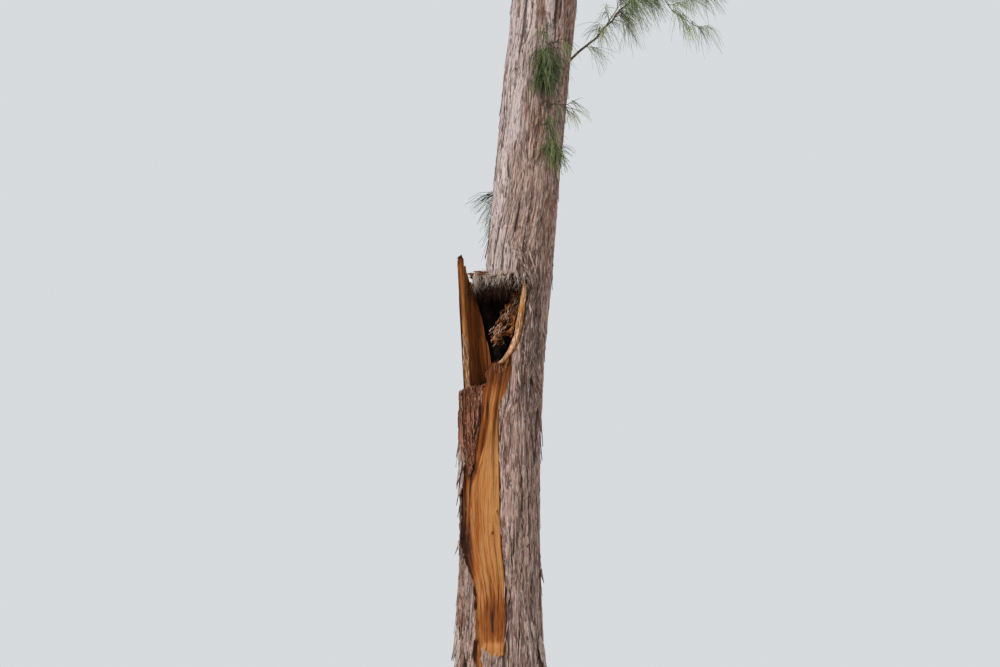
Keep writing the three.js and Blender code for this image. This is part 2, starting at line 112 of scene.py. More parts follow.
TRUNK_RINGS += [*range(4750, SNAPPED_TOP, 500), SNAPPED_TOP]

SHARD = dict(foot=3585, radius=100, thickness=28, centre_y=-55, foot_x=-48, top_x=-92, front=184, back=68)
SHARD_TOP = [(-204, 4262), (-186, 4284), (-176, 4250), (-142, 4187), (-102, 4080), (-80, 3980), (-66, 3930)]
SHARD_TOP += [(-47, 3830), (-33, 3766)]

BOUGHS = dict(count=15, lowest=5950, highest=12050, low_length=1750, high_length=640, low_radius=50)
BOUGHS.update(high_radius=19, low_elevation=34, high_elevation=58, first_turn=24, low_reach=2150)
BOUGHS.update(high_reach=1200, steps=5)
SNAPPED_BOUGHS = (3, 8, 11)
FORKED_BOUGHS = (0, 1, 2, 6)
BARE = dict(twigs=7, spread=0.78, lift=0.35, kink=0.3, twig=0.62, fine=0.42, sprays=0)
LEAFY = dict(twigs=5, spread=0.85, lift=-0.25, kink=0.34, twig=0.56, fine=0.5, sprays=1)
TUFT = dict(twigs=3, spread=0.8, lift=-1.1, kink=0.4, twig=0.7, fine=0, sprays=2)
GREEN_LIMBS = ("bough_02", "bough_06", "bough_10", "fork_03")
RUSTY_LIMBS = ("bough_05",)
SPRAY = dict(length=230, width=64, sunk=7)
LOWEST_LEAF = 300
CLEARANCE = 9
TRUNK_TUFTS = [
    ("tuft_front_upper", 5270, -79, 250, 6),
    ("tuft_front_lower", 4985, -62, 200, 5),
    ("shoot_right", 5260, 2, 950, 7),
    ("tuft_back", 4620, 108, 260, 6),
    ("tuft_left_high", 6420, 196, 420, 8),
    ("tuft_front_high", 7350, -60, 460, 8),
    ("tuft_back_high", 8700, 75, 480, 8),
    ("tuft_top", 10350, -120, 460, 8),
]
MASK = 0xFFFFFFFF


def along(rows, position):
    """A value read off rows of position and value, level beyond their ends."""
    return np.interp(position, [row[0] for row in rows], [row[1] for row in rows])


def lerp(start, end, share):
    return start + (end - start) * share


def rise(x, low, high):
    """0 below low, 1 above high and eased between them."""
    share = np.clip((np.asarray(x, float) - low) / (high - low), 0, 1)
    return share * share * (3 - 2 * share)


def stream(*place):
    """Seeded random numbers from 0 to 1, the same as the solids use."""
    state = SEED
    for n in place:
        state = ((state ^ n) * 0x9E3779B1 + 0x85EBCA6B) & MASK

    def draw():
        nonlocal state
        state = (state + 0x6D2B79F5) & MASK
        t = ((state ^ (state >> 15)) * (state | 1)) & MASK
        t ^= (t + (t ^ (t >> 7)) * (t | 61)) & MASK
        return ((t ^ (t >> 14)) & MASK) / 2**32

    return draw


def unit(v):
    return v / math.sqrt(float(np.dot(v, v)))


def units(rows):
    return rows / np.linalg.norm(rows, axis=1)[:, None]


def stem_centre(z):
    """x and y of the centre of the stem that still stands."""
    climb = np.clip((z - WAIST) / (LEDGE - WAIST), 0, 1)
    shift = TRUNK["ledge_shift"] * climb ** TRUNK["shift_power"]
    leaning = LEAN["lean"] * np.maximum(0, z - LEDGE) - LEAN["fade"] * np.maximum(0, z - BEND) ** 2
    wander = LEAN["sway"] * rise(z, SWAY_FOOT, 7500)
    x = shift + leaning + wander * np.sin((z - SWAY_FOOT) / 1050)
    return x, 1.3 * wander * np.sin((z - SWAY_FOOT) / 1350)


def ring_centre(z):
    """x and y that a ring of the trunk is measured from: inside both stems where there are two."""
    x, y = stem_centre(z)
    return x - TWIN_SHIFT * (rise(z, WAIST, 4100) - rise(z, 4250, 4600)), y


def disc_reach(angle, dx, dy, radius):
    """How far out at an angle the edge of a disc lies whose centre is at dx, dy."""
    ahead = dx * np.cos(angle) + dy * np.sin(angle)
    within = radius * radius - dx * dx - dy * dy + ahead * ahead
    return np.where(within <= 0, 0, ahead + np.sqrt(np.maximum(within, 0)))


def trunk_radius(angle, z, ledge=LEDGE):
    """The trunk's radius at an angle and a height. The torn stem ends at the ledge."""
    angle, z = np.broadcast_arrays(np.asarray(angle, float), np.asarray(z, float))
    cx, cy = ring_centre(z)
    sx, sy = stem_centre(z)
    butt = TRUNK["taper"] * np.maximum(0, WAIST - z)
    reach = disc_reach(angle, sx - cx, sy - cy, along(STEM_RADII, z) + butt)
    torn = disc_reach(angle, along(TORN_X, z) - cx, along(TORN_Y, z) - cy, along(TORN_RADII, z))
    reach = np.where((z > WAIST) & (z <= ledge), np.maximum(reach, torn), reach)
    lobe = 0.55 + 0.45 * np.cos(TRUNK["lobes"] * angle + 0.7 + 0.4 * np.sin(angle))
    foot = TRUNK["flare"] * np.exp(-z / TRUNK["flare_height"]) * lobe
    flutes = 0.012 * np.cos(3 * angle + z / 900) + 0.01 * np.cos(7 * angle - z / 700)
    return foot + reach * (1 + flutes)


def grow_path(start, heading, length, steps, lift, kink, random):
    """A path of equal steps. After the first, each is drawn up or down by lift and knocked aside by kink."""
    points = [np.array(start, float)]
    direction = np.array(heading, float)
    for k in range(steps):
        if k > 0:
            knock = np.array([(random() - 0.5) * kink for _ in range(3)])
            direction = direction + knock + (0, 0, lift / steps)
            direction = unit(direction)
        points.append(points[k] + direction * (length / steps))
    return np.array(points)


def side_heading(heading, spread, roll):
    """A heading that leaves another at an angle, rolled round it."""
    level = np.array((0.0, 0.0, 1.0)) if abs(heading[2]) < 0.9 else np.array((1.0, 0.0, 0.0))
    across = unit(np.cross(heading, level))
    over = np.cross(across, heading)
    aside = across * math.cos(roll) + over * math.sin(roll)
    return heading * math.cos(spread) + aside * math.sin(spread)


def point_at(points, share):
    step = min(int(share * (len(points) - 1)), len(points) - 2)
    return lerp(points[step], points[step + 1], share * (len(points) - 1) - step)


def heading_at(points, share):
    step = min(int(share * (len(points) - 1)), len(points) - 2)
    return unit(points[step + 1] - points[step])


def segment_gaps(p1, q1, p2, q2):
    """Squared distances from the segment p1-q1 to each of the segments p2-q2."""
    d1 = q1 - p1
    d2 = q2 - p2
    r = p1 - p2
    a = float(d1 @ d1)
    e = np.einsum("ij,ij->i", d2, d2)
    f = np.einsum("ij,ij->i", d2, r)
    c = r @ d1
    b = d2 @ d1
    denominator = a * e - b * b
    with np.errstate(divide="ignore", invalid="ignore"):
        s = np.where(denominator > 1e-9, np.clip((b * f - c * e) / denominator, 0, 1), 0.0)
        t = (b * s + f) / e
    s = np.where(t < 0, np.clip(-c / a, 0, 1), np.where(t > 1, np.clip((b - c) / a, 0, 1), s))
    t = np.clip(t, 0, 1)
    apart = p1 + s[:, None] * d1 - p2 - t[:, None] * d2
    return np.einsum("ij,ij->i", apart, apart)


class Tree:
    """Everything that has grown: limbs, and masses of twigs and sprays, each clear of the other nodes."""

    def __init__(self):
        self.owners, self.starts, self.ends, self.radii = [], [], [], []
        self.packed = None
        rings = np.array(TRUNK_RINGS, float)
        line = np.stack([*ring_centre(rings), rings], axis=1)
        self.claim("trunk", line, along(STEM_RADII, rings) * 1.02)
        self.boughs = [self.bough(i) for i in range(BOUGHS["count"])]
        self.forks = [self.fork(i, self.boughs[b]) for i, b in enumerate(FORKED_BOUGHS)]
        self.limbs = self.boughs + self.forks
        for limb in self.limbs:
            self.claim(limb["name"], limb["points"], limb["radii"])
        self.masses = [self.trunk_tuft(i, *row) for i, row in enumerate(TRUNK_TUFTS)]
        for i, limb in enumerate(self.limbs):
            if limb["snapped"]:
                self.masses.append(self.stub_tuft(limb, 300 + i))
            else:
                self.masses.append(self.tip_mass(limb, 200 + i))

    def claim(self, name, points, radii):
        for k in range(1, len(points)):
            self.owners.append(name)
            self.starts.append(points[k - 1])
            self.ends.append(points[k])
            self.radii.append(max(radii[k - 1], radii[k]))
        self.packed = None

    def is_clear(self, name, points, radii):
        """Whether a path keeps its clearance from all that has grown under other names."""
        if self.packed is None:
            self.packed = [np.array(rows) for rows in (self.owners, self.starts, self.ends, self.radii)]
        owners, starts, ends, sizes = self.packed
        others = owners != name
        for k in range(1, len(points)):
            apart = max(radii[k - 1], radii[k]) + sizes[others] + CLEARANCE
            gaps = segment_gaps(points[k - 1], points[k], starts[others], ends[others])
            if (gaps < apart * apart).any():
                return False
        return True

    def bough(self, i):
        random = stream(1, i)
        height = i / (BOUGHS["count"] - 1)
        z = lerp(BOUGHS["lowest"], BOUGHS["highest"], height**0.95)
        turn = math.radians(BOUGHS["first_turn"] + 22 * (random() - 0.5)) + i * GOLDEN_TURN
        slope = lerp(BOUGHS["low_elevation"], BOUGHS["high_elevation"], height)
        elevation = math.radians(slope + 12 * (random() - 0.5))
        snapped = i in SNAPPED_BOUGHS
        kept = 0.6 if snapped else 1
        length = lerp(BOUGHS["low_length"], BOUGHS["high_length"], height) * (0.85 + 0.3 * random()) * kept
        radius = lerp(BOUGHS["low_radius"], BOUGHS["high_radius"], height) * (0.9 + 0.2 * random())
        flat = math.cos(elevation)
        heading = np.array((flat * math.cos(turn), flat * math.sin(turn), math.sin(elevation)))
        start = (*ring_centre(z), z)
        points = grow_path(start, heading, length, BOUGHS["steps"], 0.5, 0.34, random)
        radii = np.linspace(radius, radius * (0.7 if snapped else 0.5), BOUGHS["steps"] + 1)
        radii[1] *= 1.12
        limb = dict(name=f"bough_{i + 1:02d}", points=points, radii=radii, snapped=snapped)
        return dict(limb, parent=None, height=height)

    def fork(self, i, bough):
        random = stream(2, i)
        share = 0.5 + 0.14 * random()
        start = point_at(bough["points"], share)
        roll = 0.35 if random() < 0.5 else math.pi - 0.35
        heading = side_heading(heading_at(bough["points"], share), 0.75, roll)
        length = lerp(BOUGHS["low_length"], BOUGHS["high_length"], bough["height"]) * (0.55 + 0.25 * random())
        radius = bough["radii"][-1] * 1.25
        points = grow_path(start, heading, length, 4, 0.45, 0.34, random)
        radii = np.linspace(radius, radius * 0.6, 5)
        limb = dict(name=f"fork_{i + 1:02d}", points=points, radii=radii, snapped=False)
        return dict(limb, parent=bough, height=bough["height"])

    def fits(self, mass, points, radii):
        near = all(np.linalg.norm(p - mass["middle"]) < mass["space"] for p in points)
        high = all(p[2] > LOWEST_LEAF for p in points)
        return near and high and self.is_clear(mass["name"], points, radii)

    def twig(self, parent, share, spread, roll, length, root, steps, habit, random):
        start = point_at(parent, share)
        heading = side_heading(heading_at(parent, share), spread, roll)
        points = grow_path(start, heading, length, steps, habit["lift"], habit["kink"], random)
        return points, np.linspace(root, 0, steps + 1)

    def hang_spray(self, mass, points, share, *key):
        random = stream(6, mass["place"], *key)
        root = point_at(points, share)
        hang = heading_at(points, share) * 0.4
        hang = unit(hang + (0.7 * (random() - 0.5), 0.7 * (random() - 0.5), -0.95))
        length = SPRAY["length"] * (0.8 + 0.5 * random())
        line = np.array([root - hang * SPRAY["sunk"], root + hang * length])
        if self.fits(mass, line, [SPRAY["width"] / 3] * 2):
            mass["sprays"].append(line)

    def mass(self, name, place, start, heading, radius, reach, habit):
        points = grow_path(start, heading, reach, 5, habit["lift"], habit["kink"], stream(3, place))
        stem = (points, np.linspace(radius, 0, 6))
        mass = dict(name=name, place=place, middle=point_at(points, 0.5), space=reach * 0.85, reach=reach)
        mass.update(twigs=[stem], sprays=[], habit=habit)
        for j in range(habit["twigs"]):
            random = stream(4, place, j)
            share = lerp(0.14, 0.93, (j + 0.6 * random()) / habit["twigs"])
            roll = j * GOLDEN_TURN + 0.8 * random()
            spread = habit["spread"] * (0.8 + 0.4 * random())
            length = reach * habit["twig"] * (1 - 0.5 * share) * (0.75 + 0.45 * random())
            root = max(radius * (1 - share) * 0.72, 3.2)
            twig = self.twig(points, share, spread, roll, length, root, 2, habit, random)
            if not self.fits(mass, *twig):
                continue
            mass["twigs"].append(twig)
            for s in range(habit["sprays"]):
                self.hang_spray(mass, twig[0], 0.92 - 0.42 * s, j, s)
            if habit["fine"] > 0:
                self.fine_twig(mass, twig[0], j, root, length * habit["fine"], habit)
        for s in range(habit["sprays"]):
            self.hang_spray(mass, points, 0.95 - 0.35 * s, 99, s)
        for twig in mass["twigs"]:
            self.claim(name, *twig)
        for line in mass["sprays"]:
            self.claim(name, line, [SPRAY["width"] / 3] * 2)
        return mass

    def fine_twig(self, mass, parent, j, root, length, habit):
        random = stream(5, mass["place"], j)
        share = 0.38 + 0.2 * random()
        roll = TAU * random()
        reach = length * (0.8 + 0.4 * random())
        thick = max(root * (1 - share) * 0.8, 2.6)
        fine = self.twig(parent, share, 0.75, roll, reach, thick, 1, habit, random)
        if not self.fits(mass, *fine):
            return
        mass["twigs"].append(fine)
        if habit["sprays"] > 0:
            self.hang_spray(mass, fine[0], 0.9, j, 10)

    def trunk_tuft(self, i, name, z, direction, reach, radius):
        is_shoot = name == "shoot_right"
        turn = math.radians(direction)
        out = np.array((math.cos(turn), math.sin(turn), 0.0))
        start = np.array((*ring_centre(z), z)) + out * (float(trunk_radius(turn, z)) - 12)
        out[2] = 0.9 if is_shoot else 0.25
        habit = {**LEAFY, "lift": 0.7} if is_shoot else TUFT
        return self.mass(name, 100 + i, start, unit(out), radius, reach, habit)

    def stub_tuft(self, limb, place):
        root = point_at(limb["points"], 0.8)
        side = side_heading(heading_at(limb["points"], 0.8), 1.2, -1.2)
        return self.mass("tuft_on_" + limb["name"], place, root, side, 8, 420, TUFT)

    def tip_mass(self, limb, place):
        tip = limb["points"][-1]
        heading = unit(tip - limb["points"][-2])
        reach = lerp(BOUGHS["low_reach"], BOUGHS["high_reach"], limb["height"])
        reach *= 0.8 if limb["parent"] else 1
        prefix, habit = "bare_twigs_", BARE
        if limb["name"] in GREEN_LIMBS:
            prefix, habit = "green_mass_", LEAFY
        if limb["name"] in RUSTY_LIMBS:
            prefix, habit = "rusty_mass_", LEAFY
        name, start = prefix + limb["name"], tip + heading * GAP
        return self.mass(name, place, start, heading, limb["radii"][-1], reach, habit)


@functools.lru_cache(maxsize=1)
def grown_tree():
    return Tree()


# Settings that a user may change


def linear(code):
    """A colour written as sRGB hex, as linear numbers."""
    channels = [int(code[k : k + 2], 16) / 255 for k in (1, 3, 5)]
    return (*[c / 12.92 if c <= 0.04045 else ((c + 0.055) / 1.055) ** 2.4 for c in channels], 1.0)


def colour_setting(name, description, code):
    return FloatVectorProperty(
        name=name, description=description, default=linear(code), size=4, min=0, max=1, subtype="COLOR"
    )


def length_setting(name, description, millimetres):
    return FloatProperty(name=name, description=description, default=millimetres * MM, min=0, unit="LENGTH")


def plain_setting(kind, name, description, default, least=0):
    return kind(name=name, description=description, default=default, min=least)


class TreeBarkSettings(bpy.types.PropertyGroup):
    fissure_depth: length_setting("Fissure depth", "How deep the long fissures of the bark are", 6.5)
    plate_height: length_setting("Plate height", "How far one layer of bark stands out over the next", 2.8)
    light: colour_setting("Light strings", "Weathered strings of bark", "#ab8e83")
    middle: colour_setting("Bark", "Bark between the strings", "#7b5d50")
    # Also the colour of the painted light on the stem's upper left.
    bleached: colour_setting("Bleached bark", "Bark that the sun has bleached", "#c6b8b6")
    warm: colour_setting("Fresh bark", "Bark where a strip has just come away", "#885b46")
    dark: colour_setting("Fissures", "The bottoms of fissures", "#2a1b15")
    # Also the colour of the painted shade down the trunk's left edge.
    mossy_and_shaded: colour_setting("Mossy bark", "Rough damp bark beside the hollow", "#4a3a2f")
    strip_density: plain_setting(FloatProperty, "Strip density", "Loose strips to a square metre", 120)
    strip_spacing: length_setting("Strip spacing", "Least distance between two loose strips", 28)
    strip_seed: plain_setting(IntProperty, "Strip seed", "Seed of the loose strips' places", 3)


class TreeWoodSettings(bpy.types.PropertyGroup):
    strip_depth: length_setting("Strip depth", "How far the bare strip lies below the bark", 16)
    pale: colour_setting("Sound wood", "Freshly torn heartwood", "#ac7846")
    orange: colour_setting("Deep wood", "Heartwood stained orange", "#88491a")
    brown: colour_setting("Brown wood", "Heartwood weathered brown", "#643519")
    dark: colour_setting("Dark wood", "Heartwood weathered almost black", "#2c170e")
    # Partly the colour of rotten wood and partly painted shade of the hollow.
    rot: colour_setting("Rot", "The walls of the hollow", "#0f0704")
    crumbs: colour_setting("Rotten wood", "Crumbling wood left in the hollow", "#a4653b")


class TreeTwigSettings(bpy.types.PropertyGroup):
    spacing: length_setting("Twig spacing", "Distance between side twigs", 62)
    reach: length_setting("Twig length", "Length of the longer side twigs", 310)
    tip: length_setting("Tip radius", "Radius of the finest twigs at their tips", 0.6)
    grey: colour_setting("Grey twigs", "Twigs long dead", "#7d6e65")
    brown: colour_setting("Brown twigs", "Twigs lately dead", "#64524a")


class TreeNeedleSettings(bpy.types.PropertyGroup):
    count: plain_setting(IntProperty, "Needles", "Needles to a spray", 9, least=1)
    length: length_setting("Needle length", "Length of the longer needles", 200)
    radius: length_setting("Needle radius", "Radius of a needle, larger than life", 1.5)
    dark: colour_setting("Dark green", "Needles in the shade of others", "#252e14")
    middle: colour_setting("Green", "Living needles", "#4a572b")
    pale: colour_setting("Pale green", "Young and sunlit needles", "#858e59")
    rust: colour_setting("Rust", "Dead needles", "#6a3c25")
    pale_rust: colour_setting("Pale rust", "Dead needles bleached by the sun", "#94623f")


class TreeStageSettings(bpy.types.PropertyGroup):
    floor: colour_setting("Floor", "Colour of the floor", "#bdbbb6")
    backdrop: colour_setting("Backdrop", "Colour around the tree", "#eef1f4")
    sun: plain_setting(FloatProperty, "Key light", "Strength of the light from the front left", 2.7)
    fill: plain_setting(FloatProperty, "Fill light", "Strength of the light from the right", 0.55)


SETTINGS = dict(
    tree_bark=TreeBarkSettings,
    tree_wood=TreeWoodSettings,
    tree_twigs=TreeTwigSettings,
    tree_needles=TreeNeedleSettings,
    tree_stage=TreeStageSettings,
)


# Noise


def hashed(ix, iy, iz, seed):
    """A number from -1 to 1 for each whole-numbered cell, by multiplying with odd numbers and mixing bits."""
    n = ix.astype(np.uint32) * np.uint32(374761393) + iy.astype(np.uint32) * np.uint32(668265263)
    n += iz.astype(np.uint32) * np.uint32(2246822519) + np.uint32((seed * 3266489917) & MASK)
    n = (n ^ (n >> np.uint32(13))) * np.uint32(1274126177)
    n = (n ^ (n >> np.uint32(15))) * np.uint32(2654435761)
    n ^= n >> np.uint32(16)
    return n.astype(np.float64) / 2**31 - 1


def noise(points, size, seed):
    """Smooth noise from -1 to 1 at points. A size in millimetres is one number, or one for each axis."""
    p = np.asarray(points, float) / size
    cell = np.floor(p).astype(np.int64)
    part = p - cell
    ease = part * part * part * (part * (part * 6 - 15) + 10)
    total = np.zeros(len(p))
    for corner in range(8):
        step = (corner & 1, corner >> 1 & 1, corner >> 2)
        weight = np.ones(len(p))
        for axis in range(3):
            weight *= ease[:, axis] if step[axis] else 1 - ease[:, axis]
        total += weight * hashed(*(cell[:, axis] + step[axis] for axis in range(3)), seed)
    return total * 1.4


def noise3(points, size, seed):
    return np.stack([noise(points, size, seed + axis) for axis in range(3)], 1)


def noise_along(values, size, seed):
    """Noise along one line."""
    return noise(np.stack([0 * values, 0 * values, values], 1), size, seed)


def cracks(points, size, seed, width):
    """1 along upright lines of a width, where noise of a size crosses zero, and 0 elsewhere."""
    reach = 1.5
    here = noise(points, size, seed)
    slope = [np.abs(noise(points + step, size, seed) - here) / reach for step in np.eye(3) * reach]
    level = np.hypot(slope[0], slope[1]) + 1e-4
    upright = 1 - rise(slope[2] / level, 0.2, 0.5)
    return (1 - rise(np.abs(here) / level / width, 0.35, 1)) * upright


# Meshes


def new_object(name, points, blocks, finishes=(), picks=None, smooth=True):
    """A mesh object from points in millimetres and blocks of faces, each block with one number of corners.

    picks gives each face's material.
    """
    blocks = [np.asarray(block, np.int32) for block in blocks]
    corners = np.concatenate([block.ravel() for block in blocks])
    sizes = np.concatenate([np.full(len(block), block.shape[1], np.int32) for block in blocks])
    mesh = bpy.data.meshes.new(name)
    mesh.vertices.add(len(points))
    mesh.loops.add(len(corners))
    mesh.loops.foreach_set("vertex_index", corners)
    starts = np.concatenate([[0], np.cumsum(sizes)[:-1]]).astype(np.int32)
    mesh.polygons.add(len(sizes))
    mesh.polygons.foreach_set("loop_start", starts)
    move_points(mesh, points)
    for key in finishes:
        mesh.materials.append(finish(key))
    if picks is not None:
        mesh.polygons.foreach_set("material_index", np.asarray(picks, np.int32))
    mesh.update(calc_edges=True)
    mesh.validate()
    made = link_object(name, mesh)
    shade_smooth(made, smooth)
    return made


def shade_smooth(piece, smooth=True):
    faces = piece.data.polygons
    faces.foreach_set("use_smooth", np.full(len(faces), smooth))


def link_object(name, data):
    made = bpy.data.objects.new(name, data)
    bpy.context.scene.collection.objects.link(made)
    return made


def move_points(mesh, points):
    mesh.vertices.foreach_set("co", (np.asarray(points, float) * MM).astype(np.float32).ravel())
    mesh.update()


def mesh_points(mesh):
    points = np.empty(len(mesh.vertices) * 3, np.float32)
    mesh.vertices.foreach_get("co", points)
    return points.reshape(-1, 3).astype(float) / MM


def store(piece, **values):
    """Keeps numbers, or places in millimetres, for each vertex. The materials read them by name."""
    kept = piece.data.attributes
    for name, data in values.items():
        data = np.broadcast_to(data, (len(piece.data.vertices), *np.shape(data)[1:]))
        if data.ndim == 1:
            kept.new(name, "FLOAT", "POINT").data.foreach_set("value", data.astype(np.float32))
        else:
            flat = (data * MM).astype(np.float32).ravel()
            kept.new(name, "FLOAT_VECTOR", "POINT").data.foreach_set("vector", flat)


def evaluated_mesh(host):
    """The host's mesh with its modifiers worked in."""
    return bpy.data.meshes.new_from_object(host.evaluated_get(bpy.context.evaluated_depsgraph_get()))


def apply_modifier(host, kind, **settings):
    """Adds a modifier with its settings and turns its result into the host's own mesh."""
    modifier = host.modifiers.new("shape", kind)
    for key, value in settings.items():
        setattr(modifier, key, value)
    mesh = evaluated_mesh(host)
    host.modifiers.clear()
    host.data = mesh


def only_finish(piece, *names):
    """Gives a piece these finishes in place of the ones it had."""
    piece.data.materials.clear()
    for name in names:
        piece.data.materials.append(finish(name))


def face_outwards(piece):
    shell = bmesh.new()
    shell.from_mesh(piece.data)
    bmesh.ops.recalc_face_normals(shell, faces=shell.faces)
    shell.to_mesh(piece.data)
    shell.free()


def tube_faces(rows, columns):
    """Side faces of a tube of rings, and fans that close its ends on two points kept after the rings."""
    i, j = np.meshgrid(np.arange(rows - 1), np.arange(columns), indexing="ij")
    here, after = i * columns + j, i * columns + (j + 1) % columns
    sides = np.stack([here, after, after + columns, here + columns], -1)
    ring = np.arange(columns)
    turned = (ring + 1) % columns
    last = (rows - 1) * columns
    low = np.stack([np.full(columns, rows * columns), turned, ring], -1)
    high = np.stack([np.full(columns, rows * columns + 1), last + ring, last + turned], -1)
    return sides.reshape(-1, 4), np.concatenate([low, high])


def zip_faces(first, columns):
    """Faces that close a ring of an even number of columns by joining its two halves face to face."""
    k = np.arange(columns // 2 - 1)
    return first + np.stack([k, k + 1, columns - 2 - k, columns - 1 - k], -1)


def sheet_faces(rows, columns):
    """Faces of a thin closed sheet: a grid of points for its outer side, then one for its inner side."""
    size = rows * columns
    i, j = np.meshgrid(np.arange(rows - 1), np.arange(columns - 1), indexing="ij")
    corner = (i * columns + j).ravel()
    outer = np.stack([corner, corner + columns, corner + columns + 1, corner + 1], -1)
    rim = [*range(columns), *[k * columns + columns - 1 for k in range(1, rows)]]
    rim += [*range(size - 2, size - columns - 1, -1), *[k * columns for k in range(rows - 2, 0, -1)]]
    rim = np.array(rim)
    after = np.roll(rim, -1)
    edge = np.stack([rim, after, size + after, size + rim], -1)
    return np.concatenate([outer, size + outer[:, ::-1], edge])


def dress(piece, slot, *nodes):
    """The piece stands on the tree's one body and may stand for nodes. The slot is not used."""
    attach(piece, "root")
    if nodes:
        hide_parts(*nodes)


# Materials


def add_node(tree, kind, inputs=None, **settings):
    """Adds a node with its settings. An input is a value, or another node's socket to link from."""
    added = tree.nodes.new(kind)
    for key, value in settings.items():
        setattr(added, key, value)
    for key, value in (inputs or {}).items():
        if isinstance(value, bpy.types.NodeSocket):
            tree.links.new(value, added.inputs[key])
        else:
            added.inputs[key].default_value = value
    return added


def grain_place(tree, name=None, wander=0.0):
    """Where a pattern is: an attribute that follows the grain, or else Object coordinates, pushed aside."""
    if name is None:
        place = add_node(tree, "ShaderNodeTexCoord").outputs["Object"]
    else:
        place = add_node(tree, "ShaderNodeAttribute", attribute_name=name).outputs["Vector"]
    swirl = add_node(tree, "ShaderNodeTexNoise", {"Vector": place, "Scale": 1 / 0.07, "Detail": 1.0})
    push = {0: swirl.outputs["Color"], 1: (0.5,) * 3}
    push = {0: add_node(tree, "ShaderNodeVectorMath", push, operation="SUBTRACT").outputs[0]}
    push["Scale"] = wander * MM
    push = {0: place, 1: add_node(tree, "ShaderNodeVectorMath", push, operation="SCALE").outputs[0]}
    return add_node(tree, "ShaderNodeVectorMath", push, operation="ADD").outputs[0]


def streaks(tree, place, across, along_grain, detail=3.0, offset=0.0):
    """Noise drawn out along the grain: cells of a width and a height in millimetres."""
    scale = (1 / (across * MM), 1 / (across * MM), 1 / (along_grain * MM))
    inputs = {"Vector": place, "Scale": scale, "Location": (offset,) * 3}
    inputs = {"Vector": add_node(tree, "ShaderNodeMapping", inputs).outputs[0], "Scale": 1.0}
    return add_node(tree, "ShaderNodeTexNoise", {**inputs, "Detail": detail}).outputs[0]


def seams(tree, place, across, along_grain, offset=0.0):
    """How far off a seam between strings is. A seam is where noise drawn out along the grain is half."""
    drawn = streaks(tree, place, across, along_grain, 1.0, offset)
    centred = add_node(tree, "ShaderNodeMath", {0: drawn, 1: 0.5}, operation="SUBTRACT").outputs[0]
    return add_node(tree, "ShaderNodeMath", {0: centred}, operation="ABSOLUTE").outputs[0]


def layered(tree, colour, *layers):
    """Lays colours over one. A layer is a factor, where it starts and is full, a colour and its strength."""
    for factor, start, full, over, strength in layers:
        inputs = {"Value": factor, "From Min": start, "From Max": full, "To Max": strength}
        share = add_node(tree, "ShaderNodeMapRange", inputs, interpolation_type="SMOOTHSTEP").outputs[0]
        colour = add_node(tree, "ShaderNodeMix", {0: share, 6: colour, 7: over}, data_type="RGBA").outputs[2]
    return colour


def scaled(colour, amount):
    """A colour made darker or lighter."""
    return (*[min(1.0, channel * amount) for channel in colour[:3]], 1.0)


def add_up(tree, *parts):
    """The sum of sockets, each with how much it counts."""
    total = 0.0
    for socket, weight in parts:
        inputs = {0: socket, 1: weight, 2: total}
        total = add_node(tree, "ShaderNodeMath", inputs, operation="MULTIPLY_ADD").outputs[0]
    return total


# What the meshes keep for the bark, each from 0 to 1: layers; bleached bark, which also holds painted light
# on the stem's upper left; damp dark bark, which also holds painted shade down the trunk's left edge; and
# fissures.
BARK_TONES = ("plate", "pale", "moss", "fissure")


def bark_pattern(tree, chosen):
    """Dry stringy ironwood bark: pale strings over brown, with thin dark seams between the strings."""
    place = grain_place(tree, "bark_grain", 16)
    bands = streaks(tree, place, 34, 520, 2.0, 11.3)
    strings = streaks(tree, place, 11, 170, 4.0)
    threads = streaks(tree, place, 5, 64, 3.0, 3.7)
    flakes = streaks(tree, place, 9, 36, 4.0, 6.3)
    patches = streaks(tree, place, 105, 320, 2.0, 9.1)
    seam = seams(tree, place, 15, 330, 2.2)
    fine_seam = seams(tree, place, 7, 150, 5.1)
    kept = [add_node(tree, "ShaderNodeAttribute", attribute_name=key) for key in BARK_TONES]
    plate, pale, moss, fissure = (node.outputs["Fac"] for node in kept)
    colour = layered(
        tree,
        chosen.middle,
        (strings, 0.42, 0.57, chosen.light, 1.0),
        (strings, 0.43, 0.3, chosen.dark, 0.55),
        (bands, 0.52, 0.68, chosen.light, 0.5),
        (bands, 0.48, 0.3, chosen.dark, 0.35),
        (patches, 0.5, 0.7, chosen.warm, 0.6),
        (plate, 0.3, 0.9, chosen.light, 0.75),
        # Bleached bark, with painted light on the stem's upper left.
        (pale, 0.0, 1.0, chosen.bleached, 0.85),
        # Damp bark, with painted shade down the trunk's left edge.
        (moss, 0.0, 1.0, chosen.mossy_and_shaded, 0.8),
        (threads, 0.53, 0.68, chosen.bleached, 0.6),
        (flakes, 0.56, 0.72, chosen.bleached, 0.45),
        (flakes, 0.45, 0.28, chosen.dark, 0.5),
        (threads, 0.47, 0.32, chosen.dark, 0.65),
        (fine_seam, 0.05, 0.0, chosen.dark, 0.4),
        (seam, 0.045, 0.005, chosen.dark, 0.7),
        (fissure, 0.2, 1.0, chosen.dark, 0.8),
    )
    heights = ((strings, 3.0), (threads, 2.4), (flakes, 1.8), (fine_seam, 6.0), (seam, 14.0))
    return colour, add_up(tree, *heights)


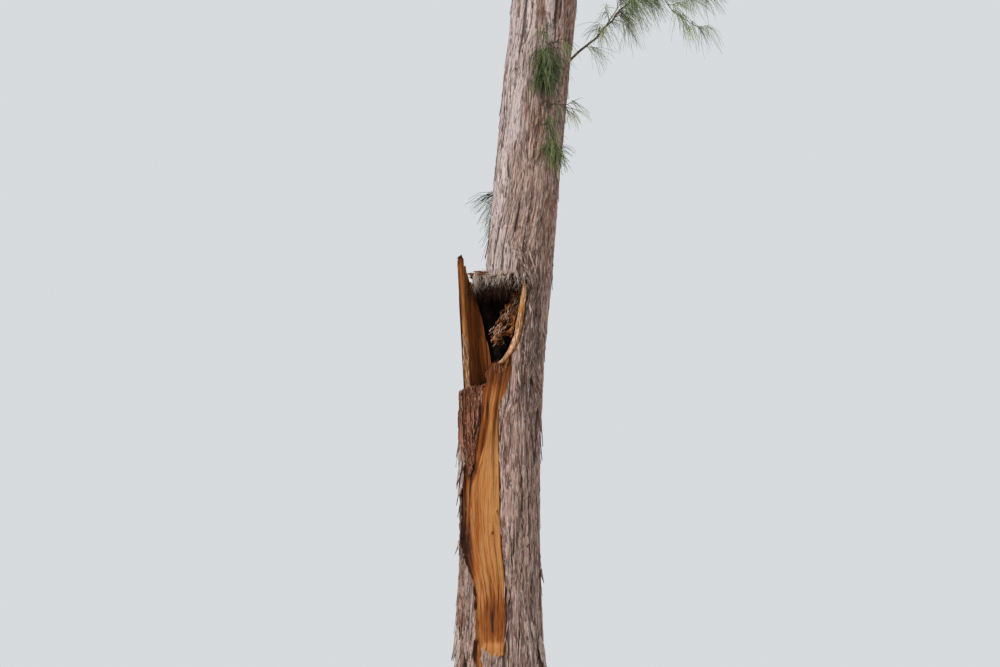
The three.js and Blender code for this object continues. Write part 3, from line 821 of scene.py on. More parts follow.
def wood_pattern(tree, chosen):
    """Torn ironwood heartwood: long grain, golden where fresh, orange to nearly black as its darkness rises.
    The darkness is weathering, with painted shade and painted highlight in places.
    """
    place = grain_place(tree, "wood_grain", 2.5)
    bands = streaks(tree, place, 13, 330, 4.0, 1.3)
    grain = streaks(tree, place, 4.5, 140, 3.0, 5.2)
    flecks = streaks(tree, place, 7, 30, 3.0, 4.4)
    seam = seams(tree, place, 13, 500, 2.7)
    stain = add_node(tree, "ShaderNodeAttribute", attribute_name="stain").outputs["Fac"]
    stain = add_up(tree, (stain, 1.0), (bands, 1.1), (grain, 1.3))
    stain = add_node(tree, "ShaderNodeMath", {0: stain, 1: 1.2}, operation="SUBTRACT").outputs[0]
    colour = layered(
        tree,
        chosen.pale,
        (stain, -0.12, 0.32, chosen.orange, 1.0),
        (stain, 0.3, 0.66, chosen.brown, 1.0),
        (stain, 0.62, 0.98, chosen.dark, 1.0),
        (flecks, 0.56, 0.76, chosen.pale, 0.25),
        (flecks, 0.44, 0.26, chosen.dark, 0.25),
        (grain, 0.46, 0.3, chosen.dark, 0.45),
        (seam, 0.025, 0.0, chosen.dark, 0.55),
    )
    return colour, add_up(tree, (grain, 2.0), (bands, 2.5), (flecks, 1.0), (seam, 8.0))


def streaked_pattern(tree, first, second, across, upwards, height):
    """A fibrous surface: two shades in streaks, with fine dark gaps."""
    place = grain_place(tree, wander=6)
    broad = streaks(tree, place, across, upwards, 4.0, 2.4)
    fine = streaks(tree, place, across * 0.45, upwards * 0.6, 3.0, 7.7)
    gaps = (fine, 0.46, 0.3, scaled(first, 0.45), 0.8)
    colour = layered(tree, first, (broad, 0.36, 0.64, second, 1.0), gaps)
    return colour, add_up(tree, (broad, height), (fine, height))


# Fibrous finishes: two colours, the width and length of the streaks, and how high they stand, in millimetres.
FIBROUS = {
    # Inner bark torn to fibres: reddish and dull, nearly black between them.
    "torn_inner_bark": ("#1f0d08", "#a86f58", 9, 130, 3.5),
    # Loose strips of bark: bleached grey, or brown where they have just lifted.
    "bleached_bark_strip": ("#69574f", "#bfaca3", 5, 50, 2.0),
    "lifted_bark_strip": ("#57423a", "#8d7064", 5, 50, 1.0),
    # Bark on the stouter twigs: grey brown and nearly even.
    "stout_twig_bark": ("#6b574d", "#9c877c", 16, 34, 0.8),
    # Fibres of bark: nearly black, or bleached where the sun reaches them.
    "dark_bark_fibre": ("#170e0a", "#33211a", 4, 40, 0.5),
    "bleached_bark_fibre": ("#8a766a", "#ddccc0", 4, 40, 0.5),
    # Fibres of torn wood, from red inner bark to pale sapwood. The near white of the pale fibres of rotten
    # wood also serves as painted highlight along the lip.
    "torn_red_fibre": ("#512a1b", "#8d583f", 4, 40, 0.5),
    "pale_rotten_fibre": ("#8a5d3d", "#e6c6ac", 4, 40, 0.5),
    "torn_heartwood_fibre": ("#6b3f1e", "#bb8550", 4, 40, 0.5),
    "pale_torn_fibre": ("#7d4f3c", "#c8a08a", 4, 40, 0.5),
}
# The same in two shades of a colour that is a setting: its group and name, the shades, and then as above.
TINTED = {
    # Rotten wood that lines the hollow: nearly black and crumbly, partly its own colour and partly painted
    # shade of the hollow.
    "rotten_hollow_wall": ("tree_wood", "rot", 0.5, 2.2, 12, 30, 4.0),
    # Cubes of rotten wood: orange to tan with dark gaps.
    "crumbling_rotten_wood": ("tree_wood", "crumbs", 0.1, 1.0, 13, 34, 5.0),
    # Twigs: dry and matt.
    "dead_grey_twig": ("tree_twigs", "grey", 0.55, 1.0, 6, 60, 0.4),
    "dead_brown_twig": ("tree_twigs", "brown", 0.55, 1.0, 6, 60, 0.4),
}
# Needles: waxy, and too fine for a pattern, so each spray has one plain shade.
NEEDLE_SHADES = {
    "dark_green_needles": "dark",
    "green_needles": "middle",
    "pale_green_needles": "pale",
    "rusty_dead_needles": "rust",
    "pale_rusty_dead_needles": "pale_rust",
}
GREENS = ("dark_green_needles", "green_needles", "pale_green_needles")
RUSTS = ("rusty_dead_needles", "pale_rusty_dead_needles")


def new_material(name, roughness, specular):
    """A material and its shader."""
    made = bpy.data.materials.new(name)
    made.use_nodes = True
    shader = made.node_tree.nodes["Principled BSDF"]
    shader.inputs["Roughness"].default_value = roughness
    shader.inputs["Specular IOR Level"].default_value = specular
    return made, shader


def make_plain(name, colour, roughness=0.55):
    """A surface of one colour, a little waxy."""
    made, shader = new_material(name, roughness, 0.3)
    shader.inputs["Base Color"].default_value = colour
    return made


def make_patterned(name, roughness, pattern, *choices):
    """A matt material whose colour and height come from a pattern. The height is in millimetres."""
    made, shader = new_material(name, roughness, 0.12)
    tree = made.node_tree
    colour, height = pattern(tree, *choices)
    tree.links.new(colour, shader.inputs["Base Color"])
    bump = add_node(tree, "ShaderNodeBump", {"Height": height, "Distance": MM, "Strength": 1.0})
    tree.links.new(bump.outputs[0], shader.inputs["Normal"])
    return made


def finish(name):
    """A finish by its name, made when it is first asked for."""
    known = bpy.data.materials.get(name)
    if known:
        return known
    scene = bpy.context.scene
    if name == "stringy_ironwood_bark":
        return make_patterned(name, 0.95, bark_pattern, scene.tree_bark)
    if name == "torn_ironwood_heartwood":
        return make_patterned(name, 0.78, wood_pattern, scene.tree_wood)
    if name in NEEDLE_SHADES:
        return make_plain(name, getattr(scene.tree_needles, NEEDLE_SHADES[name]))
    if name in FIBROUS:
        first, second, *streak = FIBROUS[name]
        shades = linear(first), linear(second)
    else:
        group, key, darker, lighter, *streak = TINTED[name]
        colour = getattr(getattr(scene, group), key)
        shades = scaled(colour, darker), scaled(colour, lighter)
    return make_patterned(name, 0.9, streaked_pattern, *shades, *streak)


# Strands: twigs, needles and fibres as tubes along paths


def node_group(name, inputs, output):
    """A group of geometry nodes, with named inputs, each of a kind and with a default, and what it gives."""
    tree = bpy.data.node_groups.new(name, "GeometryNodeTree")
    for key, (kind, default) in inputs.items():
        socket = tree.interface.new_socket(key, in_out="INPUT", socket_type="NodeSocket" + kind)
        if default is not None:
            socket.default_value = default
    tree.interface.new_socket(output, in_out="OUTPUT", socket_type="NodeSocketGeometry")
    return tree, add_node(tree, "NodeGroupInput").outputs


def end_nodes(tree, geometry, material):
    real = add_node(tree, "GeometryNodeRealizeInstances", {"Geometry": geometry})
    finished = add_node(tree, "GeometryNodeSetMaterial", {"Geometry": real.outputs[0], "Material": material})
    add_node(tree, "NodeGroupOutput", {0: finished.outputs[0]})


def run_nodes(host, tree, inputs, name):
    """Gives the host the node group, with its named inputs, and returns the result as a plain mesh object."""
    modifier = host.modifiers.new("nodes", "NODES")
    modifier.node_group = tree
    for item in tree.interface.items_tree:
        if item.in_out == "INPUT" and item.name in inputs:
            modifier[item.identifier] = inputs[item.name]
    mesh = evaluated_mesh(host)
    mesh.name = name
    bpy.data.objects.remove(host)
    return link_object(name, mesh)


def strand_nodes():
    """A node group that turns a mesh of open paths, each point with a thickness, into tubes."""
    known = bpy.data.node_groups.get("tubes_along_paths")
    if known:
        return known
    inputs = {"Paths": ("Geometry", None), "Sides": ("Int", 3), "Finish": ("Material", None)}
    tree, given = node_group("tubes_along_paths", inputs, "Tubes")
    curves = add_node(tree, "GeometryNodeMeshToCurve", {"Mesh": given["Paths"]})
    thickness = add_node(tree, "GeometryNodeInputNamedAttribute", {"Name": "thickness"}, data_type="FLOAT")
    ring = add_node(tree, "GeometryNodeCurvePrimitiveCircle", {"Resolution": given["Sides"], "Radius": 1.0})
    inputs = {"Curve": curves.outputs[0], "Profile Curve": ring.outputs[0], "Fill Caps": True}
    tubes = add_node(tree, "GeometryNodeCurveToMesh", {**inputs, "Scale": thickness.outputs[0]})
    end_nodes(tree, tubes.outputs[0], given["Finish"])
    return tree


def make_strands(name, strands, sides, finish_name, smooth=True):
    """Tubes along strands, each a pair of points and radii in millimetres."""
    lasts = np.cumsum([len(radii) for _, radii in strands]) - 1
    points, radii = (np.concatenate(parts) for parts in zip(*strands))
    starts = np.delete(np.arange(len(points)), lasts)
    mesh = bpy.data.meshes.new(name + "_paths")
    mesh.vertices.add(len(points))
    mesh.edges.add(len(starts))
    mesh.edges.foreach_set("vertices", np.stack([starts, starts + 1], 1).astype(np.int32).ravel())
    move_points(mesh, points)
    host = link_object(name + "_paths", mesh)
    store(host, thickness=radii * MM)
    made = run_nodes(host, strand_nodes(), {"Sides": sides, "Finish": finish(finish_name)}, name)
    shade_smooth(made, smooth)
    return made


# The trunk

# The bare strip on the trunk's front, as rows of height and x: its edges, and where its bright wood begins.
STRIP_RIGHT = [(2200, 14), (2409, 23), (2569, 28), (2661, 30), (2799, 21), (2892, 7), (3032, 2), (3219, 0)]
STRIP_RIGHT += [(3361, -5), (3455, -9), (3503, -7), (3550, 0), (3574, 12), (3622, 30), (3700, 48), (3810, 58)]
STRIP_LEFT = [(2200, -75), (2386, -118), (2478, -110), (2661, -112), (2753, -130), (2846, -166), (2939, -182)]
STRIP_LEFT += [(3032, -188), (3172, -190), (3240, -180), (3313, -152), (3408, -114), (3503, -102)]
STRIP_LEFT += [(3640, -90)]
BRIGHT_LEFT = [(2386, -112), (2478, -103), (2661, -106), (2753, -118), (2846, -130), (2939, -139)]
BRIGHT_LEFT += [(3032, -149), (3125, -146), (3172, -137), (3240, -112), (3313, -92), (3415, -60), (3490, -48)]
BRIGHT_LEFT += [(3575, -52), (3640, -46), (3760, -34)]
# Inner bark torn to fibres, at the bark's level to the left of the strip.
FRAYED_LEFT = [(3220, -146), (3260, -152), (3330, -166), (3400, -186), (3430, -260)]
FRAYED_RIGHT = [(3220, -142), (3300, -122), (3400, -106), (3500, -96), (3640, -84)]
STRIP_FOOT = 2408
FRAYED_FOOT = 3220
FRAYED_TOP = 3645
KNOTS = [(-18, 3050), (-41, 2950)]
BARK = "stringy_ironwood_bark"
WOOD = "torn_ironwood_heartwood"
FRAYED = "torn_inner_bark"
ROT_AND_SHADE = "rotten_hollow_wall"
TRUNK_FINISHES = (BARK, WOOD, FRAYED, ROT_AND_SHADE)


def between(x, left, right, soft):
    """1 where x lies between two sides, going to 0 over a soft width."""
    return rise(x - left, -soft, soft) * rise(right - x, -soft, soft)


def front_angle(x, z):
    """The angle at which the trunk's front surface has an x."""
    cx, _ = ring_centre(z)
    angle = np.full_like(np.asarray(z, float), -math.pi / 2)
    for _ in range(6):
        angle = -np.arccos(np.clip((x - cx) / trunk_radius(angle, z), -0.985, 0.985))
    return angle


def surface_point(x, z, out=0.0):
    """The trunk's front surface at an x and a height, moved outwards."""
    x, z = np.broadcast_arrays(np.atleast_1d(np.asarray(x, float)), np.asarray(z, float))
    angle = front_angle(x, z)
    reach = trunk_radius(angle, z) + out
    cx, cy = ring_centre(z)
    return np.stack([cx + reach * np.cos(angle), cy + reach * np.sin(angle), z], -1)


def bark_relief(grain):
    """The bark's height above its mean surface, how deep in a fissure, and how high on a plate."""
    chosen = bpy.context.scene.tree_bark
    warped = grain + noise3(grain, (80, 80, 260), 1) * (9, 9, 0)
    width = 1.5 + 6 * rise(noise(grain, (70, 70, 330), 8), 0, 0.8)
    width *= 1 - 0.45 * rise(grain[:, 2], 4200, 4500)
    major = cracks(warped, (36, 36, 620), 3, width)
    minor = cracks(warped, (16, 16, 280), 4, 3.4) * rise(noise(warped, (45, 45, 170), 9), -0.4, 0.4)
    layers = noise(warped, (42, 42, 260), 5) * 2.4 + 0.28 * noise(grain, (9, 9, 26), 10)
    step = np.floor(layers)
    terrace = step + rise(layers - step, 0.4, 0.55)
    strings = noise(warped, (7, 7, 85), 6) + 0.6 * noise(grain, (8, 8, 34), 12)
    bulges = noise(grain, (240, 240, 560), 7)
    height = -chosen.fissure_depth / MM * major - 2.8 * minor + chosen.plate_height / MM * terrace
    height += 1.2 * strings + 5 * bulges + 2.5
    return height, np.clip(major + 0.5 * minor, 0, 1), rise(terrace, -1.5, 2)


def wood_relief(grain):
    """Torn wood's own relief: long grain, with a few open splits."""
    return 3.6 * noise(grain, (14, 14, 330), 12) + 1.4 * noise(grain, (6, 6, 160), 13)


# Open gaps in the bark beside the strip: x, foot, top and half width.
GAPS = [(-177, 2478, 2628, 7), (-160, 2330, 2452, 5), (168, 2350, 2452, 9), (12, 2440, 2620, 4)]
GAPS += [(176, 3390, 3560, 6), (62, 2840, 2990, 4), (150, 3600, 3700, 5), (98, 3150, 3260, 4)]
GAPS += [(148, 2640, 2760, 4)]


def gap_share(points):
    """How far each point lies in an open gap of the bark, from 0 to 1."""
    x, y, z = points.T
    wander = 4 * noise_along(z, 50, 103)
    total = np.zeros(len(x))
    for at, foot, top, half in GAPS:
        narrow = half * (1 - ((2 * z - foot - top) / (top - foot)) ** 2)
        inside = rise(narrow - np.abs(x + wander - at), -2, 2)
        total = np.maximum(total, inside * (narrow > 0) * (y < 0))
    return total


def frayed_share(points):
    """How far each point lies in the patch of inner bark torn to fibres, from 0 to 1."""
    x, y, z = points.T
    ragged = 9 * noise(points, (14, 14, 40), 42)
    inside = between(x + ragged, along(FRAYED_LEFT, z), along(FRAYED_RIGHT, z), 4)
    return inside * between(z + 1.6 * ragged, FRAYED_FOOT, FRAYED_TOP, 12) * (y < 35)


def remnant_share(points):
    """How far each point lies under the bark that is left at the strip's foot, from 0 to 1."""
    x, _, z = points.T
    ragged = 9 * noise(points, (12, 12, 24), 40)
    top = STRIP_FOOT - 12 + 28 * rise(-x, 28, 66) + ragged
    return rise(top - z, -3, 5) * rise(x + 86 + ragged, -3, 5)


def strip_share(points):
    """How far each point lies across the strip, from 0 at its left edge to 1, along gently curved lines."""
    x, _, z = points.T
    edges = (STRIP_LEFT, STRIP_RIGHT)
    left, right = (sum(along(edge, z + step) for step in (-80, 0, 80)) / 3 for edge in edges)
    return (x - left) / (right - left)


def left_stain(points):
    """The weathered wood left of the bright wood: folds above, and ribbons below."""
    x, _, z = points.T
    upper = rise(z, 3240, 3330)
    folds = (0.28 + 0.34 * rise(noise(points, (15, 15, 420), 45), -0.3, 0.3)) * upper
    ribbons = rise(noise(points, (12, 12, 460), 105), -0.25, 0.35)
    band = (0.66 + 0.34 * ribbons) * (1 - upper) * rise(z, 2700, 2800)
    return (folds + band) * rise(along(BRIGHT_LEFT, z) - x, 0, 12)


def edge_shade_and_knots(x, z):
    """Painted shade in dark lines down the strip's edges, where the bark steps down to the wood, and darker
    wood round its knots.
    """
    right = 0.8 * rise(x - along(STRIP_RIGHT, z), -7, -1) * (z < 3560)
    wall = 3 + 4 * rise(z, 2750, 2900)
    left = 0.9 * rise(along(STRIP_LEFT, z) + wall - x, 0, 4) * (z < 3260)
    knots = [0.5 * rise(1 - np.hypot(x - at - 4, z - height) / 9, 0, 0.6) for at, height in KNOTS]
    return np.maximum.reduce([right, left, *knots])


def strip_stain_and_painted_light(points):
    """How dark the strip's wood has weathered, from 0 to 1, with painted shade in lines down its edges, and a
    little below 0 under a painted highlight on its middle.
    """
    x, _, z = points.T
    ragged = 0.5 * noise(points, (8, 8, 110), 44)
    streak = 0.66 * rise(1 - np.hypot((x + 44) / 52, (z - 2585) / 100) + 1.8 * ragged, 0.1, 1.2)
    low = 0.38 * between(z + 70 * ragged, 2440, 2630, 50) * rise(x, -112, -74)
    high = 0.42 * rise(z, 3585, 3660) + 0.2 * rise(z, 3300, 3480)
    high = np.maximum(high, 0.16 * rise(-x, 95, 120))
    stain = np.maximum.reduce([left_stain(points), streak, low, high, edge_shade_and_knots(x, z)])
    sliver = (1 - rise(np.abs(x + 165 - 0.05 * (z - 3110)), 4, 8)) * between(z, 3000, 3215, 30)
    horn = between(z, STRIP_FOOT - 20, STRIP_FOOT + 44, 8) * between(x, -84, 22, 6)
    # Painted highlight where the key light falls on the strip's middle.
    sunlit = 0.12 * between(x, -52, 0, 14) * between(z, 2950, 3480, 120)
    return np.clip(stain * (1 - 0.66 * sliver) * (1 - 0.75 * horn) - sunlit, -0.2, 1)


def bark_tones(points):
    """How bleached the bark is, with painted light on the stem's upper left, and how dark and damp, with
    painted shade down the trunk's left edge: each from 0 to 1.
    """
    x, y, z = points.T
    cx, _ = ring_centre(z)
    front = y < 0
    patch = noise(points, (70, 70, 260), 46)
    # Painted light: the stem's front left above the hollow is paler, partly bleached bark and partly the fall
    # of the key light from the left.
    upper = rise(z, 4140, 4230) * (1 - rise(x - cx, -70, 70))
    upper *= (1 - 0.5 * rise(z, 6500, 8000)) * rise(x - cx, -222, -168)
    low = 0.2 * (1 - rise(z, 2500, 3000)) * rise(x, -120, 40)
    broken = rise(noise(points, (40, 40, 90), 99), -0.3, 0.3)
    lip = 0.5 * between(x - along(STRIP_RIGHT, z), -1, 11, 2) * between(z, 2650, 3560, 60) * front * broken
    plate = 0.25 * between(x, -166, -112, 5) * between(z, 2386, 2790, 20) * front
    lichen = 0.8 * between(x + 9 * noise(points, (16, 16, 60), 104), 222, 260, 5)
    lichen *= between(z, 5300, 5640, 70) * front
    pale = np.clip((upper + low) * (0.75 + 0.5 * patch) + lip + plate + lichen, 0, 1)
    damp = between(x, 98, 188, 14) * between(z, 3560, 4205, 60) * (y < 40)
    # Painted shade down the trunk's left edge.
    shaded = 0.9 * rise(-x, 150, 176) * between(z, 2830, 3250, 50)
    foot = 0.5 * (1 - rise(z, 60, 380))
    left_over = 0.4 * remnant_share(points) * between(z, 2200, STRIP_FOOT + 30, 20) * (x < 24) * front
    mossy_and_shaded = np.maximum.reduce([damp, shaded, foot, left_over])
    return pale, np.clip(mossy_and_shaded * (0.8 + 0.4 * patch), 0, 1)


def rim_share(points):
    """How far each point lies under the lip of sound wood on the hollow's right, where the bark is gone."""
    x, y, z = points.T
    path = sorted((height, at) for at, height in RIM_PATH)
    return rise(along(path, z) + 18 - x, -3, 3) * between(z, 3735, 4142, 8) * (y < 0) * (x > -20)


def crowded(share):
    """Shares of the way to the strip's edge, closer together near it."""
    return share * (1.4 - 0.4 * share)


def column_angles(rows, left, middle, right):
    """The angles of the trunk's columns: some behind the strip's left edge, some on it, some on its right.

    The columns at the strip's edges come in close pairs, so that the step down to the wood is crisp.
    """
    rough = 3.5 * noise_along(rows, 34, 21)
    edge_right = front_angle(along(STRIP_RIGHT, rows) + rough, rows)[:, None]
    edge_left = front_angle(along(STRIP_LEFT, rows) - rough, rows)[:, None]
    behind = lerp(-1.5 * math.pi, edge_left, crowded(np.linspace(0, 1, left)))
    beyond = lerp(0.5 * math.pi, edge_right, crowded(np.linspace(0, 1, right + 1)[:0:-1]))
    pair = 1.5 / 186
    strip = lerp(edge_left + pair, edge_right - pair, np.linspace(0, 1, middle))
    return np.concatenate([behind, strip, beyond], axis=1)


def grain_places(base, on_strip):
    """Where each point lies in the bark's grain, and in the wood's, which on the strip follows its edges."""
    bark_grain = base - np.stack([*ring_centre(base[:, 2]), 0 * base[:, 2]], 1)
    wood_grain = bark_grain.copy()
    wood_grain[on_strip, 0] = strip_share(base[on_strip]) * 130
    wood_grain[on_strip, 1] = 0
    return bark_grain, wood_grain


def bark_level(base, grain, reach, moss, frayed):
    """How far the bark stands out from the trunk, how deep in a fissure, and how high on a plate."""
    z = base[:, 2]
    level, fissure, plate = bark_relief(grain)
    level += moss * 3.2 * noise(base, (11, 11, 17), 100)
    gap = gap_share(base)
    level, fissure = level - 9 * gap, np.maximum(fissure, gap)
    fibres = 6 * noise(base, (12, 12, 120), 47) + 2.5 * noise(base, (9, 9, 42), 48)
    fibres -= 16 * rise(z, 3530, 3640)
    level = lerp(level, fibres, frayed) * np.clip(reach / 180, 0.35, 1) * rise(z, -60, 260)
    return lerp(level, -15, rim_share(base)), fissure, plate


def wood_level(base, grain):
    """How far the strip's wood stands out: sunk, with folds above, a horn at its foot and its knots."""
    x, _, z = base.T
    folds = 6.5 * noise(grain, (13, 13, 420), 49) * rise(z, 3200, 3420)
    level = wood_relief(grain) + folds - bpy.context.scene.tree_wood.strip_depth / MM
    level += 10 * between(z, STRIP_FOOT - 14, STRIP_FOOT + 30, 9) * between(x, -82, 20, 9)
    for at, height in KNOTS:
        level += 6 * np.exp(-(((x - at) / 7) ** 2) - ((z - height) / 12) ** 2)
    return level


def trunk_surface(rows, left, middle, right):
    """Points of the trunk's surface on rings at heights, and what the materials read at each."""
    rows = np.asarray(rows, float)
    angles = column_angles(rows, left, middle, right)
    heights = np.broadcast_to(rows[:, None], angles.shape)
    cx, cy = (centre[:, None] for centre in ring_centre(rows))

    def place(radius):
        x, y = cx + radius * np.cos(angles), cy + radius * np.sin(angles)
        return np.stack([x, y, heights], -1).reshape(-1, 3)

    flat = np.stack([np.cos(angles) * 150, np.sin(angles) * 150, 0 * heights], -1).reshape(-1, 3)
    ragged_ledge = LEDGE + 16 * noise(flat, 30, 31).reshape(angles.shape) - 6
    reach = trunk_radius(angles, heights, ragged_ledge)
    base = place(reach)
    on_strip = np.zeros(angles.shape, bool)
    on_strip[:, left : left + middle] = True
    on_strip = on_strip.ravel()
    z, remnant, frayed = base[:, 2], remnant_share(base), frayed_share(base)
    bare = on_strip * (rise(z, 2190, 2300) * (1 - rise(z, 3800, 3840)))
    depth = bare * (1 - 0.72 * remnant)
    bark_grain, wood_grain = grain_places(base, on_strip)
    pale, moss = bark_tones(base)
    bark, fissure, plate = bark_level(base, bark_grain, reach.ravel(), moss, frayed)
    level = lerp(bark, wood_level(base, wood_grain), depth)
    kept = dict(bark_grain=bark_grain, wood_grain=wood_grain, fissure=fissure * (1 - depth), plate=plate)
    kept.update(pale=pale, moss=moss, stain=strip_stain_and_painted_light(base))
    return place(reach + level.reshape(angles.shape)), kept, bare * (1 - remnant), frayed


def trunk_piece(name, rows, columns, crown=None):
    """A closed stretch of trunk. crown lifts the last ring into a jagged break."""
    points, kept, bare, frayed = trunk_surface(rows, *columns)
    count = sum(columns)
    if crown is not None:
        cx, _ = ring_centre(rows[-1])
        points[-count:, 2] += crown(np.arctan2(points[-count:, 1], points[-count:, 0] - cx))
    ends = np.array([(*ring_centre(row), row) for row in (rows[0], rows[-1])])
    sides, caps = tube_faces(len(rows), count)
    picks = np.where(bare[sides].mean(axis=1) > 0.2, TRUNK_FINISHES.index(WOOD), 0)
    picks[frayed[sides].mean(axis=1) > 0.5] = TRUNK_FINISHES.index(FRAYED)
    top = 0 if crown is None else TRUNK_FINISHES.index(WOOD)
    picks = np.concatenate([picks, np.zeros(count, int), np.full(count, top)])
    piece = new_object(name, np.concatenate([points, ends]), [sides, caps], TRUNK_FINISHES, picks)
    for key, values in kept.items():
        store(piece, **{key: np.concatenate([values, values[-1:], values[-1:]])})
    return piece


# The hollow from the front, as rows of x and height, from the pocket behind the shard's foot to the right.
HOLLOW_OUTLINE = [(-165, 3625), (-75, 3622), (-66, 3700), (-33, 3752), (14, 3744), (42, 3792), (64, 3856)]
HOLLOW_OUTLINE += [(82, 3920), (93, 3980), (102, 4050), (106, 4140), (101, 4168), (-165, 4172)]
HOLLOW_FRONT = -330
HOLLOW_BACK = 60
RIM_PATH = [(112, 4134), (114, 4112), (111, 4068), (105, 4024), (99, 3982), (91, 3934), (84, 3886)]
RIM_PATH += [(69, 3837), (48, 3796), (22, 3762), (-2, 3742)]


def cut_hollow(piece):
    """Takes the hollow out of the trunk, with crumbled walls."""
    x, z = np.array(HOLLOW_OUTLINE, float).T
    count = len(x)
    front = np.stack([x, np.full(count, HOLLOW_FRONT), z], 1)
    back = front + (0, HOLLOW_BACK - HOLLOW_FRONT, 0)
    ring = np.arange(count)
    turned = (ring + 1) % count
    sides = np.stack([ring, turned, count + turned, count + ring], 1)
    lids = np.stack([ring[::-1], count + ring])
    space = new_object("hollow_space", np.concatenate([front, back]), [sides, lids], smooth=False)
    apply_modifier(space, "REMESH", mode="VOXEL", voxel_size=7 * MM)
    points = mesh_points(space.data)
    amount = 8 * rise(points[:, 1], HOLLOW_FRONT, -120)[:, None]
    crumbled = noise3(points, (26, 26, 60), 51) + 0.6 * noise3(points, (9, 9, 26), 54)
    move_points(space.data, points + crumbled * amount * (1, 0.8, 0.6))
    only_finish(space, *TRUNK_FINISHES)
    # The walls take the near-black finish: rotten wood with the hollow's shade painted in.
    walls = np.full(len(space.data.polygons), TRUNK_FINISHES.index(ROT_AND_SHADE), np.int32)
    space.data.polygons.foreach_set("material_index", walls)
    apply_modifier(piece, "BOOLEAN", operation="DIFFERENCE", solver="MANIFOLD", object=space)
    bpy.data.objects.remove(space)


def snapped_crown(angle):
    """How far the snapped top stands above or below its height, with splinters."""
    return 70 * np.sin(2 * angle + 1) + 45 * np.sin(5 * angle) + 25 * np.sin(17 * angle) - 20


# How far apart the trunk's rings are along its foot, round the wound and up the stem, and how many columns
# each stretch has to the left of the strip, on it and to its right.
FOOT_STEP = 13
WOUND_STEP = 7.4
STEM_STEP = 30
FOOT_COLUMNS = (64, 24, 96)
WOUND_COLUMNS = (62, 62, 126)
STEM_COLUMNS = (56, 36, 108)


class TREE_OT_trunk(bpy.types.Operator):
    """The trunk in three stretches, with the hollow and the bare strip in the middle one"""

    bl_idname = "tree.trunk"
    bl_label = "Trunk"

    def execute(self, context):
        foot_rows = [*np.linspace(0, 400, 30), *np.arange(412, 2205, FOOT_STEP), 2210]
        wound_rows = np.arange(2200, 4407, WOUND_STEP)
        stem_rows = [*np.arange(4394, 5900, WOUND_STEP), *np.arange(5905, SNAPPED_TOP, STEM_STEP)]
        foot = trunk_piece("trunk_foot", foot_rows, FOOT_COLUMNS)
        wound = trunk_piece("trunk_wound", wound_rows, WOUND_COLUMNS)
        cut_hollow(wound)
        stem = trunk_piece("trunk_stem", [*stem_rows, SNAPPED_TOP], STEM_COLUMNS, snapped_crown)
        dress(foot, "bark")
        dress(wound, "bark", "trunk")
        dress(stem, "bark")
        return {"FINISHED"}


# The wound's torn wood

# The shard's rows, and its columns along each side of its arc and round its edge.
SHARD_ROWS = 130
SHARD_ARC = 62
SHARD_EDGE = 10


def shard_axis(height):
    """x of the shard's axis at a height: it leans out to the left."""
    return lerp(SHARD["foot_x"], SHARD["top_x"], np.clip((height - SHARD["foot"]) / 700, 0, 1))


def shard_section():
    """The columns' places: u from 0 in front to 1 at the back, and w from -0.5 inside to 0.5 outside."""
    half = np.linspace(0, 0.5, SHARD_EDGE // 2 + 2)[1:-1]
    there = np.linspace(0, 1, SHARD_ARC)
    edge = np.linspace(-0.5, 0.5, SHARD_EDGE + 2)[1:-1]
    u = np.concatenate([0 * half, there, np.ones(SHARD_EDGE), np.linspace(1, 0, SHARD_ARC), 0 * half])
    return u, np.concatenate([-half, np.full(SHARD_ARC, -0.5), edge, np.full(SHARD_ARC, 0.5), half[::-1]])


def shard_top(u, w, turn):
    """How high the shard reaches in each column, and how far its splinters stand above or below that."""
    place = np.stack([u * 160, w * 34, 0 * u], 1)
    ragged = 17 * noise(place, 10, 61) + 26 * np.maximum(0, noise(place, 5, 62)) - 34
    top = np.full(len(u), 3900.0)
    for _ in range(12):
        top = 0.5 * (top + along(SHARD_TOP, shard_axis(top) + SHARD["radius"] * np.cos(turn)))
    return top, ragged


def shard_stain(z, grain, u, w, top):
    """Dark on the torn face, golden on its edges, lighter towards the top and black at the very tip."""
    face = 0.46 - 0.16 * rise(z, 3990, 4180) - 0.1 * noise(grain, (20, 20, 240), 67)
    edge = -0.06 + 0.3 * rise(z, 3800, 4200) + 0.3 * noise(grain, (9, 9, 130), 68)
    rim = 0.42 * rise(top - z, 34, 8) * (u > 0.12)
    reach = lerp(0.13, 0.5, rise(z, 3850, 4200)) + 0.05 * noise(grain, (8, 8, 120), 60)
    on_edge = rise(reach - u, -0.03, 0.03)
    stain = lerp(face - rim, edge, on_edge)
    skin = rise(w, 0.24, 0.34) * on_edge * (1 - rise(z, 4120, 4190))
    tip = rise(z + 9 * noise(grain, (7, 7, 30), 69), 4252, 4274)
    return np.clip(np.maximum(stain, np.maximum(skin, tip)), 0, 1.1)


